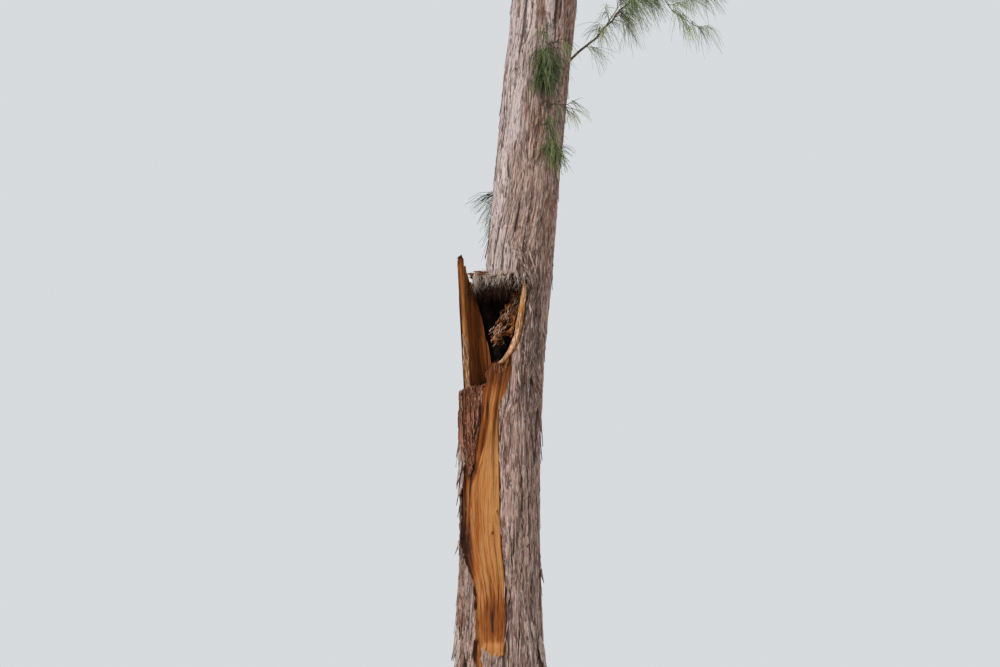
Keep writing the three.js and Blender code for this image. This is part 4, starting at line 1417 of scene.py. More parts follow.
class TREE_OT_shard(bpy.types.Operator):
    """The tall shard left standing: torn fibres inside, bright wood on its front edge and bark outside"""

    bl_idname = "tree.shard"
    bl_label = "Shard"

    def execute(self, context):
        u, w = shard_section()
        columns = len(u)
        turn = np.radians(lerp(SHARD["front"], SHARD["back"], u))
        top, ragged = shard_top(u, w, turn)
        height = lerp(SHARD["foot"], top + ragged, np.linspace(0, 1, SHARD_ROWS)[:, None])
        thickness = SHARD["thickness"] * (1 - 0.3 * rise(height, 3600, 4284))
        radius = SHARD["radius"] + w * thickness

        def place(r):
            x, y = shard_axis(height) + r * np.cos(turn), SHARD["centre_y"] + r * np.sin(turn)
            return np.stack([x, y, height], -1).reshape(-1, 3)

        base = place(radius)
        all_u, all_w = np.tile(u, SHARD_ROWS), np.tile(w, SHARD_ROWS)
        grain = np.stack([all_u * 170, all_w * 30, base[:, 2]], 1)
        fibres = 3.4 * noise(grain, (13, 13, 300), 63) + 1.8 * noise(grain, (5, 5, 130), 64)
        fibres -= 4 * cracks(grain, (22, 22, 500), 66, 3)
        side = np.sign(all_w) * rise(np.abs(all_w), 0.1, 0.5)
        points = place(radius + (fibres * side).reshape(radius.shape))
        points[:, 1] -= np.exp(-all_u * 18) * (4 + 3 * noise(base, (9, 9, 80), 65))
        sides, _ = tube_faces(SHARD_ROWS, columns)
        lids = [zip_faces(0, columns), zip_faces((SHARD_ROWS - 1) * columns, columns)[:, ::-1]]
        barked = (w > 0.49) & (np.arange(columns) > SHARD_ARC)
        picks = np.where(barked[sides % columns].all(axis=1), 0, 1)
        picks = np.concatenate([picks, np.ones(sum(map(len, lids)), int)])
        piece = new_object("torn_shard_wood", points, [sides, *lids], (BARK, WOOD), picks)
        face_outwards(piece)
        stain = shard_stain(base[:, 2], grain, all_u, all_w, np.tile(top, SHARD_ROWS))
        store(piece, bark_grain=base, wood_grain=grain, stain=stain)
        store(piece, fissure=0.35, plate=0.3, pale=0.0, moss=0.55)
        dress(piece, "torn_wood", "torn_shard")
        return {"FINISHED"}


class TREE_OT_hollow(bpy.types.Operator):
    """What the hollow holds: the bright lip of sound wood on its right, and rotten wood inside"""

    bl_idname = "tree.hollow"
    bl_label = "Hollow"

    def execute(self, context):
        build_rim()
        build_rotten_wood()
        return {"FINISHED"}


def rim_line(share):
    """The lip's middle line over the trunk's front, with a little wander."""
    known = np.linspace(0, 1, len(RIM_PATH))
    x, z = (np.interp(share, known, row) for row in np.array(RIM_PATH, float).T)
    line = surface_point(x + 1.2 * noise(np.stack([share * 800] * 3, 1), 60, 70), z, -3)
    line[:, 1] = np.maximum(line[:, 1], -166)
    return line


def build_rim():
    """The lip as a flattened tube, widest halfway along."""
    rows, columns, length, half_thick = 120, 26, 520, 8
    share = np.linspace(0, 1, rows)
    centre = rim_line(share)
    tangent = np.gradient(centre, axis=0)
    across = units(np.cross(tangent, (0.34, -0.94, 0.0)))
    up = units(np.cross(across, tangent))
    width = 3 + 14 * np.sin(np.pi * share) ** 0.7 + 2.5 * noise_along(share * length, 45, 73)
    start = share < 0.5
    width[start] = np.maximum(width[start], 7 * rise(share[start], -0.02, 0.02))
    turn = np.linspace(0, TAU, columns, endpoint=False)
    flat, thick = (np.sign(part(turn)) * np.abs(part(turn)) ** 0.6 for part in (np.cos, np.sin))
    thinned = np.minimum(1, width / half_thick)[:, None, None]
    ring = across[:, None] * flat[None, :, None] * width[:, None, None]
    ring = ring + up[:, None] * (thick * half_thick)[None, :, None] * thinned
    points = (centre[:, None] + ring).reshape(-1, 3)
    grain = np.stack([np.tile(turn * 9, rows), 0 * points[:, 0], np.repeat(share * length, columns)], 1)
    points += noise3(grain, (7, 7, 90), 71) * (2, 3, 0)
    ends = [points[:columns].mean(axis=0), points[-columns:].mean(axis=0)]
    piece = new_object("hollow_rim", np.concatenate([points, ends]), tube_faces(rows, columns), [WOOD])
    # Painted highlight along one side of the lip and painted shade along the other; the streaks added next
    # are the grain's.
    stain = -0.12 + 0.34 * np.tile(np.cos(turn), rows) * np.sign(across[0, 0])
    stain = np.concatenate([stain + 0.3 * noise(grain, (7, 12, 60), 72), [0.3, 0.3]])
    store(piece, wood_grain=np.concatenate([grain, grain[-2:]]), stain=stain)
    face_outwards(piece)
    dress(piece, "torn_wood")


def unit_ball():
    """The points and faces of a coarse ball."""
    shell = bmesh.new()
    bmesh.ops.create_icosphere(shell, subdivisions=2, radius=1)
    points = np.array([v.co[:] for v in shell.verts])
    faces = np.array([[v.index for v in f.verts] for f in shell.faces])
    shell.free()
    return points, faces


def build_rotten_wood():
    """Lumps of crumbling wood across the hollow, from its upper right to its lower left, and up its right."""
    random = np.random.default_rng(7)
    ball, faces = unit_ball()
    across, count = 44, 62
    points = []
    for k in range(count):
        share = (k % across) / (across - 1)
        x = lerp(-14, 96, share) + random.normal(0, 10)
        z = lerp(3880, 4068, share**0.8) + random.normal(0, 17)
        centre = (x, random.uniform(-78, 20), z)
        if k >= across:
            x = lerp(66, 106, share * 2.5) + random.normal(0, 4)
            centre = (x, random.uniform(-125, -40), lerp(3900, 4120, share * 2.5))
        size = random.uniform(8, 21)
        points.append(ball * size * (1, 1, random.uniform(0.8, 1.6)) + centre)
    faces = np.concatenate([faces + k * len(ball) for k in range(count)])
    piece = new_object("rotten_wood", np.concatenate(points), [faces])
    apply_modifier(piece, "REMESH", mode="VOXEL", voxel_size=3.4 * MM)
    points = mesh_points(piece.data)
    for size, amount, seed in ((24, 15, 80), (11, 8, 84), (6, 3, 88)):
        points = points + noise3(points, (size, size, size * 1.6), seed) * amount
    move_points(piece.data, points)
    only_finish(piece, "crumbling_rotten_wood")
    shade_smooth(piece)
    dress(piece, "torn_wood")


# Where the fringe over the mouth starts, and the lower edge of the mouth, as rows of x and height.
FRINGE_TOP = [(-133, 4160), (-119, 4174), (-66, 4184), (0, 4178), (30, 4160), (57, 4176), (95, 4168)]
FRINGE_TOP += [(127, 4146)]
MOUTH_FOOT = [(-70, 3690), (-33, 3752), (14, 3744), (42, 3792), (62, 3850)]


def hanging(random, root, length, radius, steps=3, spread=0.25, lean=0.0):
    """A fibre that hangs from a root, with a bend at each step."""
    heading = unit(np.array([lean + random.normal(0, spread), random.normal(0, spread), -1.0]))
    points = [np.asarray(root, float)]
    for _ in range(steps):
        points.append(points[-1] + heading * (length / steps))
        heading = unit(heading + random.normal(0, 0.22, 3) + (0, 0, -0.25))
    return np.array(points), np.linspace(1, 0.25, steps + 1) * radius


def splinter(random, points, widths, low, high):
    """A strand whose thickness at each point is a width times one random size."""
    return points, np.array(widths) * random.uniform(low, high)


def fringe_fibre(random, draw, _):
    """One fibre over the mouth: long and dark, or short and bleached in the ridge above."""
    x = draw(-130, 124)
    on_ledge = x < -62
    lock = noise(np.array([(x, 0, 0)]), 12, 102)[0]
    pale = random.random() < 0.46 + 0.35 * lock - 0.25 * rise(x, 0, 70)
    z = along(FRINGE_TOP, x) + random.normal(9 if pale else -4, 9)
    out = draw(-10, 5) if pale else draw(-34, -4)
    root = surface_point(x, 4188 if on_ledge else 4262, out)[0]
    root[0], root[2] = x, z
    if on_ledge:
        root[1] = draw(-78, -46) if pale else draw(-70, 0)
    length = draw(18, 84) if pale else draw(40, 125) * (0.7 if x > 60 else 1)
    strand = hanging(random, root, length, draw(0.5, 1.4), 4, 0.24, 0.7 * lock)
    if pale:
        return "bleached_bark_fibre", strand
    return random.choice(["dark_bark_fibre", "torn_red_fibre"], p=(0.92, 0.08)), strand


def ledge_splinter(random, draw, _):
    """One of the reddish splinters that lie on the torn stem's ledge."""
    root = np.array((draw(-130, -70), draw(-84, 20), draw(4184, 4198)))
    heading = unit(np.array((1, random.normal(0, 0.3), random.normal(-0.08, 0.1))))
    points = root + heading * np.linspace(-24, 24, 4)[:, None] + random.normal(0, 1.2, (4, 3))
    return "torn_red_fibre", splinter(random, points, (1.2, 3.4, 3.2, 1.0), 0.7, 1.5)


def frayed_fibre(random, draw, k):
    """One ropy fibre of the torn inner bark, drawn in downwards. Every fourth starts at the ragged top."""
    top = 3634 + random.normal(0, 9) if k % 4 == 0 else draw(3290, 3640)
    z = top - np.linspace(0, min(draw(45, 180), top - FRAYED_FOOT - 6), 6)
    left = np.maximum(along(FRAYED_LEFT, z), -187)
    x = lerp(left, along(FRAYED_RIGHT, z), draw(-0.05, 1.04)) + random.normal(0, 1.6, 6)
    out = draw(-6, 2) + draw(0, 7) * np.linspace(-1, 1, 6) ** 2
    radii = draw(0.9, 2.6) * np.array((0.4, 0.9, 1.0, 0.9, 0.7, 0.2))
    key = random.choice(["torn_red_fibre", "dark_bark_fibre", "pale_torn_fibre"], p=(0.5, 0.28, 0.22))
    return key, (surface_point(x, z, out), radii)


def foot_splinter(random, draw, k):
    """One splinter from the shard's foot that hangs over the torn bark's top edge."""
    root = surface_point(draw(-158, -64), 3650, draw(-30, -14))[0]
    root[2] = draw(3612, 3652)
    strand = hanging(random, root, draw(24, 70), draw(1.4, 3.2), 3, 0.15)
    return ("dark_bark_fibre" if k % 3 == 0 else "torn_red_fibre"), strand


def lip_splinter(random, draw, _):
    """One splinter along the bright lip: pale on its inner side, where it paints highlight as well, and brown
    on its outer side.
    """
    share = draw(0.04, 0.9)
    aside = draw(-15, 13) * math.sin(math.pi * share) ** 0.5
    known = np.arange(len(RIM_PATH))
    at = np.clip(share + np.array((0, 0.05, 0.1, 0.15)) * draw(0.5, 1.5), 0, 1) * known[-1]
    x, z = (np.interp(at, known, row) for row in np.array(RIM_PATH, float).T)
    points = surface_point(x + aside, z, draw(4.5, 7.5) - 0.016 * aside**2)
    points[:, 1] = np.maximum(points[:, 1], -175)
    strand = splinter(random, points, (0.3, 1.2, 1.1, 0.3), 0.5, 1.4)
    return ("pale_rotten_fibre" if aside < draw(-3, 8) else "torn_heartwood_fibre"), strand


def mouth_splinter(random, draw, _):
    """One splinter that stands up along the lower edge of the hollow's mouth."""
    x = draw(-68, 56)
    z = along(MOUTH_FOOT, x) + np.linspace(draw(-60, -12), draw(-8, 13), 4)
    x = x + np.linspace(0, random.normal(0, 6), 4)
    points = surface_point(x, z, draw(-16, -9) if x[0] < 30 else draw(-6, 0))
    key = random.choice(["torn_heartwood_fibre", "torn_red_fibre"], p=(0.4, 0.6))
    return key, splinter(random, points, (0.3, 1.3, 1.1, 0.2), 0.6, 1.5)


def shard_thread(random, draw, _):
    """One pale thread on the shard's front edge, where it was torn from the trunk last."""
    z = draw(3660, 3940) - np.linspace(0, draw(40, 170), 4)
    x = shard_axis(z) - SHARD["radius"] + draw(-11, 12) + np.linspace(0, random.normal(0, 2), 4)
    points = np.stack([x, np.full(4, draw(-76, -70)), np.maximum(z, 3612)], 1)
    key = random.choice(["pale_rotten_fibre", "torn_heartwood_fibre"])
    return key, splinter(random, points, (0.3, 1.3, 1.2, 0.3), 0.6, 1.4)


def rotten_splinter(random, draw, k):
    """One splinter or pale thread among the rotten wood."""
    share = random.random()
    root = (lerp(-20, 88, share) + random.normal(0, 13), draw(-104, -20), lerp(3890, 4065, share))
    root = np.array(root) + (0, 0, random.normal(0, 20))
    aside = unit(np.array((0.55, -0.2, 0.8)) + random.normal(0, 0.28, 3)) * draw(14, 52)
    bend = random.normal(0, 3, 3)
    points = root + aside * np.array((-0.5, 0, 0.5))[:, None] + np.array((0, 1, 0))[:, None] * bend
    strand = splinter(random, points, (0.7, 1.3, 0.4), 0.8, 1.9)
    return ("torn_red_fibre" if k % 3 == 0 else "pale_rotten_fibre"), strand


# What makes one strand in each place, and how many strands it makes.
FIBRE_PLACES = {
    fringe_fibre: 2600,
    ledge_splinter: 60,
    frayed_fibre: 520,
    foot_splinter: 150,
    lip_splinter: 260,
    mouth_splinter: 80,
    shard_thread: 70,
    rotten_splinter: 150,
}


class TREE_OT_fibres(bpy.types.Operator):
    """The shaggy fringe over the hollow's mouth, and fibres frayed from the torn wood"""

    bl_idname = "tree.fibres"
    bl_label = "Fibres"

    def execute(self, context):
        random = np.random.default_rng(11)
        groups = {key: [] for key in FIBROUS if key.endswith("_fibre")}
        for grow, count in FIBRE_PLACES.items():
            for k in range(count):
                key, strand = grow(random, random.uniform, k)
                groups[key].append(strand)
        for key, strands in groups.items():
            dress(make_strands(key + "s", strands, 4, key), "bark")
        return {"FINISHED"}


# Loose bark


def one_strip():
    """One loose strip: long, thin and curled away at its foot. Its root is at the origin and it hangs -Y."""
    rows, columns = 6, 3
    length = np.linspace(0, 1, rows)[:, None]
    half = np.array([0.35, 0.5, 0.48, 0.4, 0.3, 0.1])[:, None]
    across = np.array([-1.0, 0.15, 1.0])
    lift = 3.2 * length**2 - 1.2 * np.abs(across) + 0.2
    outer = (10 * half * across, -100 * length * (1 + 0.05 * across), lift + 0.6)
    outer = np.stack(np.broadcast_arrays(*outer), -1).reshape(-1, 3)
    return new_object("one_strip", np.concatenate([outer, outer - (0, 0, 1.2)]), [sheet_faces(rows, columns)])


def strip_nodes():
    """A node group that lays strips over the faces of a surface, each hanging down and lifted a little."""
    inputs = {"Surface": ("Geometry", None), "Strip": ("Object", None), "Density": ("Float", 100.0)}
    inputs.update({"Spacing": ("Float", 0.02), "Seed": ("Int", 0), "Finish": ("Material", None)})
    tree, given = node_group("loose_strips", inputs, "Strips")
    seed = given["Seed"]
    allowed = add_node(tree, "GeometryNodeInputNamedAttribute", {"Name": "strips"}, data_type="FLOAT")
    inputs = {"Mesh": given["Surface"], "Density Max": given["Density"], "Seed": seed}
    inputs.update({"Distance Min": given["Spacing"], "Density Factor": allowed.outputs[0]})
    spots = add_node(tree, "GeometryNodeDistributePointsOnFaces", inputs, distribute_method="POISSON")
    inputs = {"Vector": spots.outputs["Normal"]}
    facing = add_node(tree, "FunctionNodeAlignRotationToVector", inputs, axis="Z", pivot_axis="AUTO")
    inputs = {"Rotation": facing.outputs[0], "Vector": (0.08, 0, 1)}
    upright = add_node(tree, "FunctionNodeAlignRotationToVector", inputs, axis="Y", pivot_axis="Z")
    inputs = {0: (-0.03, -0.05, -0.11), 1: (0.01, 0.05, 0.11), "Seed": seed}
    tilt = add_node(tree, "FunctionNodeRandomValue", inputs, data_type="FLOAT_VECTOR").outputs[0]
    tilt = add_node(tree, "FunctionNodeEulerToRotation", {0: tilt}).outputs[0]
    inputs = {"Rotation": upright.outputs[0], "Rotate By": tilt}
    turned = add_node(tree, "FunctionNodeRotateRotation", inputs, rotation_space="LOCAL")
    inputs = {0: (0.35, 0.25, 0.4), 1: (1.2, 1.35, 1.4), "Seed": seed}
    size = add_node(tree, "FunctionNodeRandomValue", inputs, data_type="FLOAT_VECTOR")
    strip = add_node(tree, "GeometryNodeObjectInfo", {"Object": given["Strip"]})
    inputs = {"Points": spots.outputs["Points"], "Instance": strip.outputs["Geometry"]}
    inputs.update({"Rotation": turned.outputs[0], "Scale": size.outputs[0]})
    placed = add_node(tree, "GeometryNodeInstanceOnPoints", inputs)
    end_nodes(tree, placed.outputs[0], given["Finish"])
    return tree


def strip_host(name):
    """The trunk's bark, with how thickly strips may grow at each point."""
    rows = np.concatenate([np.arange(130, 2300, 40), np.arange(2300, 5900, 16), np.arange(5900, 12300, 60)])
    columns = (40, 20, 60)
    surface, _, bare, frayed = trunk_surface(rows, *columns)
    host = new_object(name, surface, [tube_faces(len(rows), sum(columns))[0]])
    x, y, z = surface.T
    open_wound = between(x, -250, 126, 1) * between(z, 3610, 4225, 1) * (y < 40)
    barked = (bare < 0.05) * (frayed < 0.05)
    store(host, strips=(1 - open_wound) * barked * np.where(z > 6000, 0.5, 1.0))
    return host


PEEL_ROWS = 20
PEEL_COLUMNS = 7
# Larger pieces of loose bark on the front: x and height of top and foot, width and lift.
BLEACHED_PEELS = [
    (-192, 2540, -200, 2400, 22, 10),
    (-182, 2470, -192, 2340, 17, 8),
    (176, 2490, 192, 2345, 24, 13),
    (118, 2545, 122, 2465, 15, 9),
    (142, 2550, 148, 2475, 13, 10),
    (-176, 3300, -186, 3200, 14, 10),
    (-184, 3260, -192, 3180, 10, 9),
    (-168, 3250, -176, 3150, 10, 7),
    (-188, 3190, -192, 3110, 10, 7),
    (-186, 2930, -194, 2874, 9, 10),
    (84, 3708, 88, 3632, 7, 5),
    (104, 4262, 150, 4110, 5, 5),
    (58, 4300, 140, 4140, 6, 4),
    (86, 4290, 170, 4075, 5, 5),
    (110, 4330, 176, 4130, 6, 5),
    (-40, 4520, -50, 4380, 12, 6),
    (214, 5440, 216, 5350, 12, 6),
    (234, 5480, 238, 5385, 10, 6),
    (262, 4800, 262, 4640, 12, 14),
]
LIFTED_PEELS = [
    (-168, 2420, -170, 2330, 14, 6),
    (188, 2450, 200, 2340, 16, 10),
    (100, 2520, 104, 2450, 10, 7),
    (172, 3598, 190, 3400, 10, 9),
    (182, 3440, 192, 3320, 9, 8),
    (-182, 3425, -190, 3330, 8, 10),
    (186, 2800, 193, 2740, 11, 8),
    (72, 4330, 158, 4110, 6, 5),
    (66, 4262, 122, 4160, 5, 4),
    (146, 4190, 166, 4060, 6, 7),
    (116, 3960, 128, 3850, 6, 6),
    (-62, 4400, -64, 4285, 16, 9),
    (197, 5500, 200, 5430, 11, 6),
    (146, 3772, 176, 3668, 8, 10),
    (132, 3742, 160, 3612, 7, 8),
    (160, 3702, 184, 3600, 8, 10),
    (138, 3650, 152, 3560, 7, 7),
    (20, 5200, 8, 5010, 12, 8),
]


def one_peel(x0, z0, x1, z1, width, lift, place):
    """The points of a larger strip, fast at the top and lifted at the foot, with ragged ends."""
    v = np.linspace(0, 1, PEEL_ROWS)[:, None]
    u = np.linspace(-0.5, 0.5, PEEL_COLUMNS)[None]
    tear = noise(np.stack([u[0] * 60, 0 * u[0], 0 * u[0] + 90 * place], 1), 11, 95)
    down = v * (1 + 0.16 * tear)
    wander = noise_along(v[:, 0] * 300 + 500 * place, 90, 96)[:, None]
    half = width * (0.3 + 0.6 * rise(v, 0, 0.3) + 0.3 * np.sin(np.pi * v)) * (1 - 0.7 * v**4)
    x = lerp(x0, x1, down**0.75) + 0.12 * width * wander + u * half
    out = 3 + lift * down**1.7 + 0.18 * width * (0.25 - u * u) * 4
    centre = surface_point(x.ravel(), (lerp(z0, z1, down) + 0 * x).ravel(), out.ravel())
    cx, cy = ring_centre(centre[:, 2])
    outward = units(centre - np.stack([cx, cy, centre[:, 2]], 1)) * 1.1
    return np.concatenate([centre + outward, centre - outward])


def build_peels(name, peels, finish_name):
    points = np.concatenate([one_peel(*peel, k) for k, peel in enumerate(peels)])
    faces = sheet_faces(PEEL_ROWS, PEEL_COLUMNS)
    faces = np.concatenate([faces + 2 * k * PEEL_ROWS * PEEL_COLUMNS for k in range(len(peels))])
    piece = new_object(name, points, [faces], [finish_name])
    face_outwards(piece)
    dress(piece, "bark")


class TREE_OT_loose_bark(bpy.types.Operator):
    """Small loose strips all over the bark, and the larger pieces that have come away"""

    bl_idname = "tree.loose_bark"
    bl_label = "Loose bark"

    def execute(self, context):
        chosen = context.scene.tree_bark
        strip, tree = one_strip(), strip_nodes()
        kinds = {"bleached_bark_strip": BLEACHED_PEELS, "lifted_bark_strip": LIFTED_PEELS}
        for k, name in enumerate(kinds):
            inputs = {"Strip": strip, "Density": chosen.strip_density, "Spacing": chosen.strip_spacing}
            inputs.update({"Seed": chosen.strip_seed + 5 * k, "Finish": finish(name)})
            dress(run_nodes(strip_host(name + "_host"), tree, inputs, name + "s"), "bark")
        bpy.data.objects.remove(strip)
        for name, peels in kinds.items():
            build_peels(name + "_peels", peels, name)
        return {"FINISHED"}


# Boughs


def limb_path(points, radii, spacing):
    """A limb's path with its corners rounded, sampled at a spacing."""
    known = np.concatenate([[0], np.cumsum(np.linalg.norm(np.diff(points, axis=0), axis=1))])
    at = np.linspace(0, known[-1], max(4, int(known[-1] / spacing)))
    path = np.stack([np.interp(at, known, points[:, axis]) for axis in range(3)], 1)
    for _ in range(max(1, int(60 / spacing))):
        path[1:-1] = (path[:-2] + 2 * path[1:-1] + path[2:]) / 4
    return path, np.interp(at, known, radii)


def path_sides(path):
    """Two directions square to a path at each of its points, carried along it without twist."""
    tangents = units(np.gradient(path, axis=0))
    normals = [np.array((0.37, 0.61, 0.7))]
    for tangent in tangents:
        normals.append(unit(normals[-1] - tangent * (normals[-1] @ tangent)))
    normals = np.array(normals[1:])
    return normals, np.cross(tangents, normals)


BOUGH_SIDES = 20
BOUGH_SPACING = 11


def limb_tube(limb, place):
    """One limb's rings and ends, where each point lies on the grain, and how deep it is in a fissure."""
    path, radii = limb_path(limb["points"], limb["radii"], BOUGH_SPACING)
    steps = np.arange(len(path)) * float(BOUGH_SPACING)
    if limb["parent"] is None:
        radii = radii * (1 + 0.5 * np.exp(-steps / 110))
    normals, binormals = (sides[:, None] for sides in path_sides(path))
    turn = np.linspace(0, TAU, BOUGH_SIDES, endpoint=False)
    out = normals * np.cos(turn)[None, :, None] + binormals * np.sin(turn)[None, :, None]
    size = np.repeat(radii, BOUGH_SIDES)
    grain = [np.tile(np.cos(turn), len(path)) * size, np.tile(np.sin(turn), len(path)) * size]
    grain = np.stack([*grain, np.repeat(steps, BOUGH_SIDES) + place], 1)
    fissure = cracks(grain, (15, 15, 210), 91, 3.2)
    lumps = noise(grain, (26, 26, 90), 92) + 0.5 * noise(grain, (7, 7, 60), 93)
    relief = np.minimum(size * 0.07, 2.6) * lumps - np.minimum(size * 0.12, 4) * fissure
    rings = (path[:, None] + out * radii[:, None, None]).reshape(-1, 3) + out.reshape(-1, 3) * relief[:, None]
    if limb["snapped"]:
        spikes = 1.3 * radii[-1] * (np.sin(2 * turn + 0.5) + 0.6 * np.sin(7 * turn) + 0.3)
        rings[-BOUGH_SIDES:] += unit(path[-1] - path[-2]) * spikes[:, None]
    points = np.concatenate([rings, path[:1], path[-1:]])
    grain = np.concatenate([grain, grain[:1], grain[-1:]])
    return points, grain, np.concatenate([fissure, [0, 0]]), len(path)


def build_limbs(name, limbs):
    """Limbs joined in one piece that stands for their nodes."""
    points, grains, fissures, rows = zip(*(limb_tube(limb, 977 * k) for k, limb in enumerate(limbs)))
    firsts = np.cumsum([0, *map(len, points)])
    faces = [[block + at for block in tube_faces(count, BOUGH_SIDES)] for count, at in zip(rows, firsts)]
    blocks = [np.concatenate(block) for block in zip(*faces)]
    lids = [[0] * BOUGH_SIDES + [int(limb["snapped"])] * BOUGH_SIDES for limb in limbs]
    picks = np.concatenate([np.zeros(len(blocks[0]), int), *lids])
    piece = new_object(name, np.concatenate(points), blocks, (BARK, WOOD), picks)
    grain = np.concatenate(grains)
    store(piece, bark_grain=grain, wood_grain=grain, fissure=np.concatenate(fissures))
    store(piece, plate=0.5, pale=0.4 + 0.3 * noise(grain, (60, 60, 300), 98), moss=0.0, stain=0.45)
    dress(piece, "bark", *[limb["name"] for limb in limbs])


class TREE_OT_boughs(bpy.types.Operator):
    """The main boughs and their forks, with stringy bark, and torn wood where a bough has snapped"""

    bl_idname = "tree.boughs"
    bl_label = "Boughs"

    def execute(self, context):
        tree = grown_tree()
        build_limbs("low_boughs", tree.boughs[:6] + tree.forks[:3])
        build_limbs("high_boughs", tree.boughs[6:] + tree.forks[3:])
        return {"FINISHED"}


# Twigs and needles


def crooked(points, radii, random, extra=2):
    """A twig's path with more bends, each aside by a small share of its length."""
    path = [points[0]]
    for a, b in zip(points[:-1], points[1:]):
        wander = 0.05 * np.linalg.norm(b - a)
        path += [lerp(a, b, k / (extra + 1)) + random.normal(0, wander, 3) for k in range(1, extra + 1)]
        path.append(b)
    share = np.linspace(0, 1, len(path))
    return np.array(path), np.interp(share, np.linspace(0, 1, len(radii)), radii)


def in_reach(points, margin=10):
    """Whether points keep within the reach of the solids."""
    low, high = np.array(CAD_BOX[0]) / MM - margin, np.array(CAD_BOX[1]) / MM + margin
    low[2] = LOWEST_LEAF
    return bool((points > low).all() and (points < high).all())


def finer_twigs(mass, parents, random, spacing, size, root_limit):
    """Side twigs along the parents, a spacing apart: each a pair of points and radii."""
    tip = bpy.context.scene.tree_twigs.tip / MM
    made = []
    for points, radii in parents:
        length = np.linalg.norm(np.diff(points, axis=0), axis=1).sum()
        known = np.linspace(0, 1, len(radii))
        for k in range(int(length / spacing)):
            share = min(0.98, (k + 0.3 + random.random()) * spacing / length)
            if share < 0.06:
                continue
            spread, roll = random.uniform(0.5, 1.0), random.uniform(0, TAU)
            heading = side_heading(heading_at(points, share), spread, roll)
            reach = size * random.uniform(0.45, 1.15) * (1.1 - 0.5 * share)
            path = [point_at(points, share)]
            for _ in range(3):
                heading = unit(heading + random.normal(0, 0.17, 3) + (0, 0, mass["habit"]["lift"] * 0.12))
                path.append(path[-1] + heading * reach / 3)
            path = np.array(path)
            if np.linalg.norm(path[-1] - mass["middle"]) < mass["space"] * 1.03 and in_reach(path):
                root = min(root_limit, 0.8 + 0.6 * np.interp(share, known, radii))
                made.append((path, np.linspace(root, tip, 4)))
    return made


@functools.lru_cache(maxsize=1)
def grown_twigs():
    """For each mass: its own twigs made crooked, the finer ones on them, and on a bare mass the finest."""
    chosen = bpy.context.scene.tree_twigs
    random = np.random.default_rng(21)
    orders = []
    for mass in grown_tree().masses:
        own = [crooked(points, np.maximum(radii, 0.8), random) for points, radii in mass["twigs"]]
        bare = mass["habit"]["sprays"] == 0
        spacing, reach = chosen.spacing / MM, chosen.reach / MM
        if mass["reach"] < 1000 and not bare:
            spacing, reach = 55, 110
        elif not bare:
            spacing, reach = spacing * 1.2, reach * 0.9
        fine = finer_twigs(mass, own, random, spacing, reach, 2.6)
        finest = finer_twigs(mass, fine, random, spacing * 1.05, reach * 0.45, 1.3) if bare else []
        orders.append((mass, own, fine, finest))
    return orders


# Twigs thicker than this radius have bark like the boughs'.
STOUT = 9


class TREE_OT_twigs(bpy.types.Operator):
    """Every twig: those of the solids, and the finer ones that grow on from them"""

    bl_idname = "tree.twigs"
    bl_label = "Twigs"

    def execute(self, context):
        random = np.random.default_rng(22)
        stout, grey, brown, leafy, bare_nodes = [], [], [], [], []
        for mass, own, fine, finest in grown_twigs():
            stout += [strand for strand in own if strand[1][0] > STOUT]
            slim = [strand for strand in own if strand[1][0] <= STOUT] + fine
            if mass["habit"]["sprays"] > 0:
                leafy += slim
                continue
            bare_nodes.append(mass["name"])
            for strand in slim + finest:
                (grey if random.random() < 0.62 else brown).append(strand)
        dress(make_strands("dead_twigs_grey", grey, 3, "dead_grey_twig"), "dead_twigs", *bare_nodes)
        dress(make_strands("dead_twigs_brown", brown, 3, "dead_brown_twig"), "dead_twigs")
        dress(make_strands("leafy_twigs", leafy, 3, "dead_brown_twig"), "dead_twigs")
        dress(make_strands("stout_twigs", stout, 7, "stout_twig_bark"), "dead_twigs")
        return {"FINISHED"}


def needle(random, start, heading, length, radius, steps):
    """One needle: it leaves along a heading and then hangs."""
    path = [start]
    for _ in range(steps):
        path.append(path[-1] + heading * length / steps)
        heading = unit(heading + random.normal(0, 0.08, 3) + (0, 0, -0.9 / steps))
    return np.array(path), np.linspace(1, 0.4, steps + 1) * radius


def spray_roots(mass, fine):
    """Where sprays hang from, and their headings."""
    roots = [(line[0], unit(line[1] - line[0])) for line in mass["sprays"]]
    for points, _ in mass["twigs"][1:] + fine:
        for share in (0.3, 0.5, 0.7, 0.9):
            roots.append((point_at(points, share), unit(heading_at(points, share) * 0.7 + (0, 0, -0.7))))
    return roots


# Tufts that sprout from the trunk's front bark, by clumps: x and height of the roots, and lean to the right.
UPPER_CLUMPS = [(205, 5258, -0.1), (226, 5214, 0.2), (240, 5196, 0.3), (196, 5150, -0.2), (222, 5136, 0.1)]
LOWER_CLUMPS = [(232, 4925, 0.0), (246, 4858, 0.2), (276, 4812, 0.6), (232, 4798, -0.1), (256, 4788, 0.3)]
FRONT_TUFTS = {"tuft_front_upper": UPPER_CLUMPS, "tuft_front_lower": LOWER_CLUMPS}


def front_tuft_roots(name, random):
    """A tuft on the trunk's front sprouts from the bark and hangs close against it."""
    roots = []
    for x, z, lean in FRONT_TUFTS[name]:
        for _ in range(15 if name == "tuft_front_upper" else 8):
            root = surface_point(random.normal(x, 13), random.normal(z, 22), 4)[0]
            roots.append((root, unit(np.array((lean + random.normal(0, 0.5), -0.3, -0.8)))))
    return roots


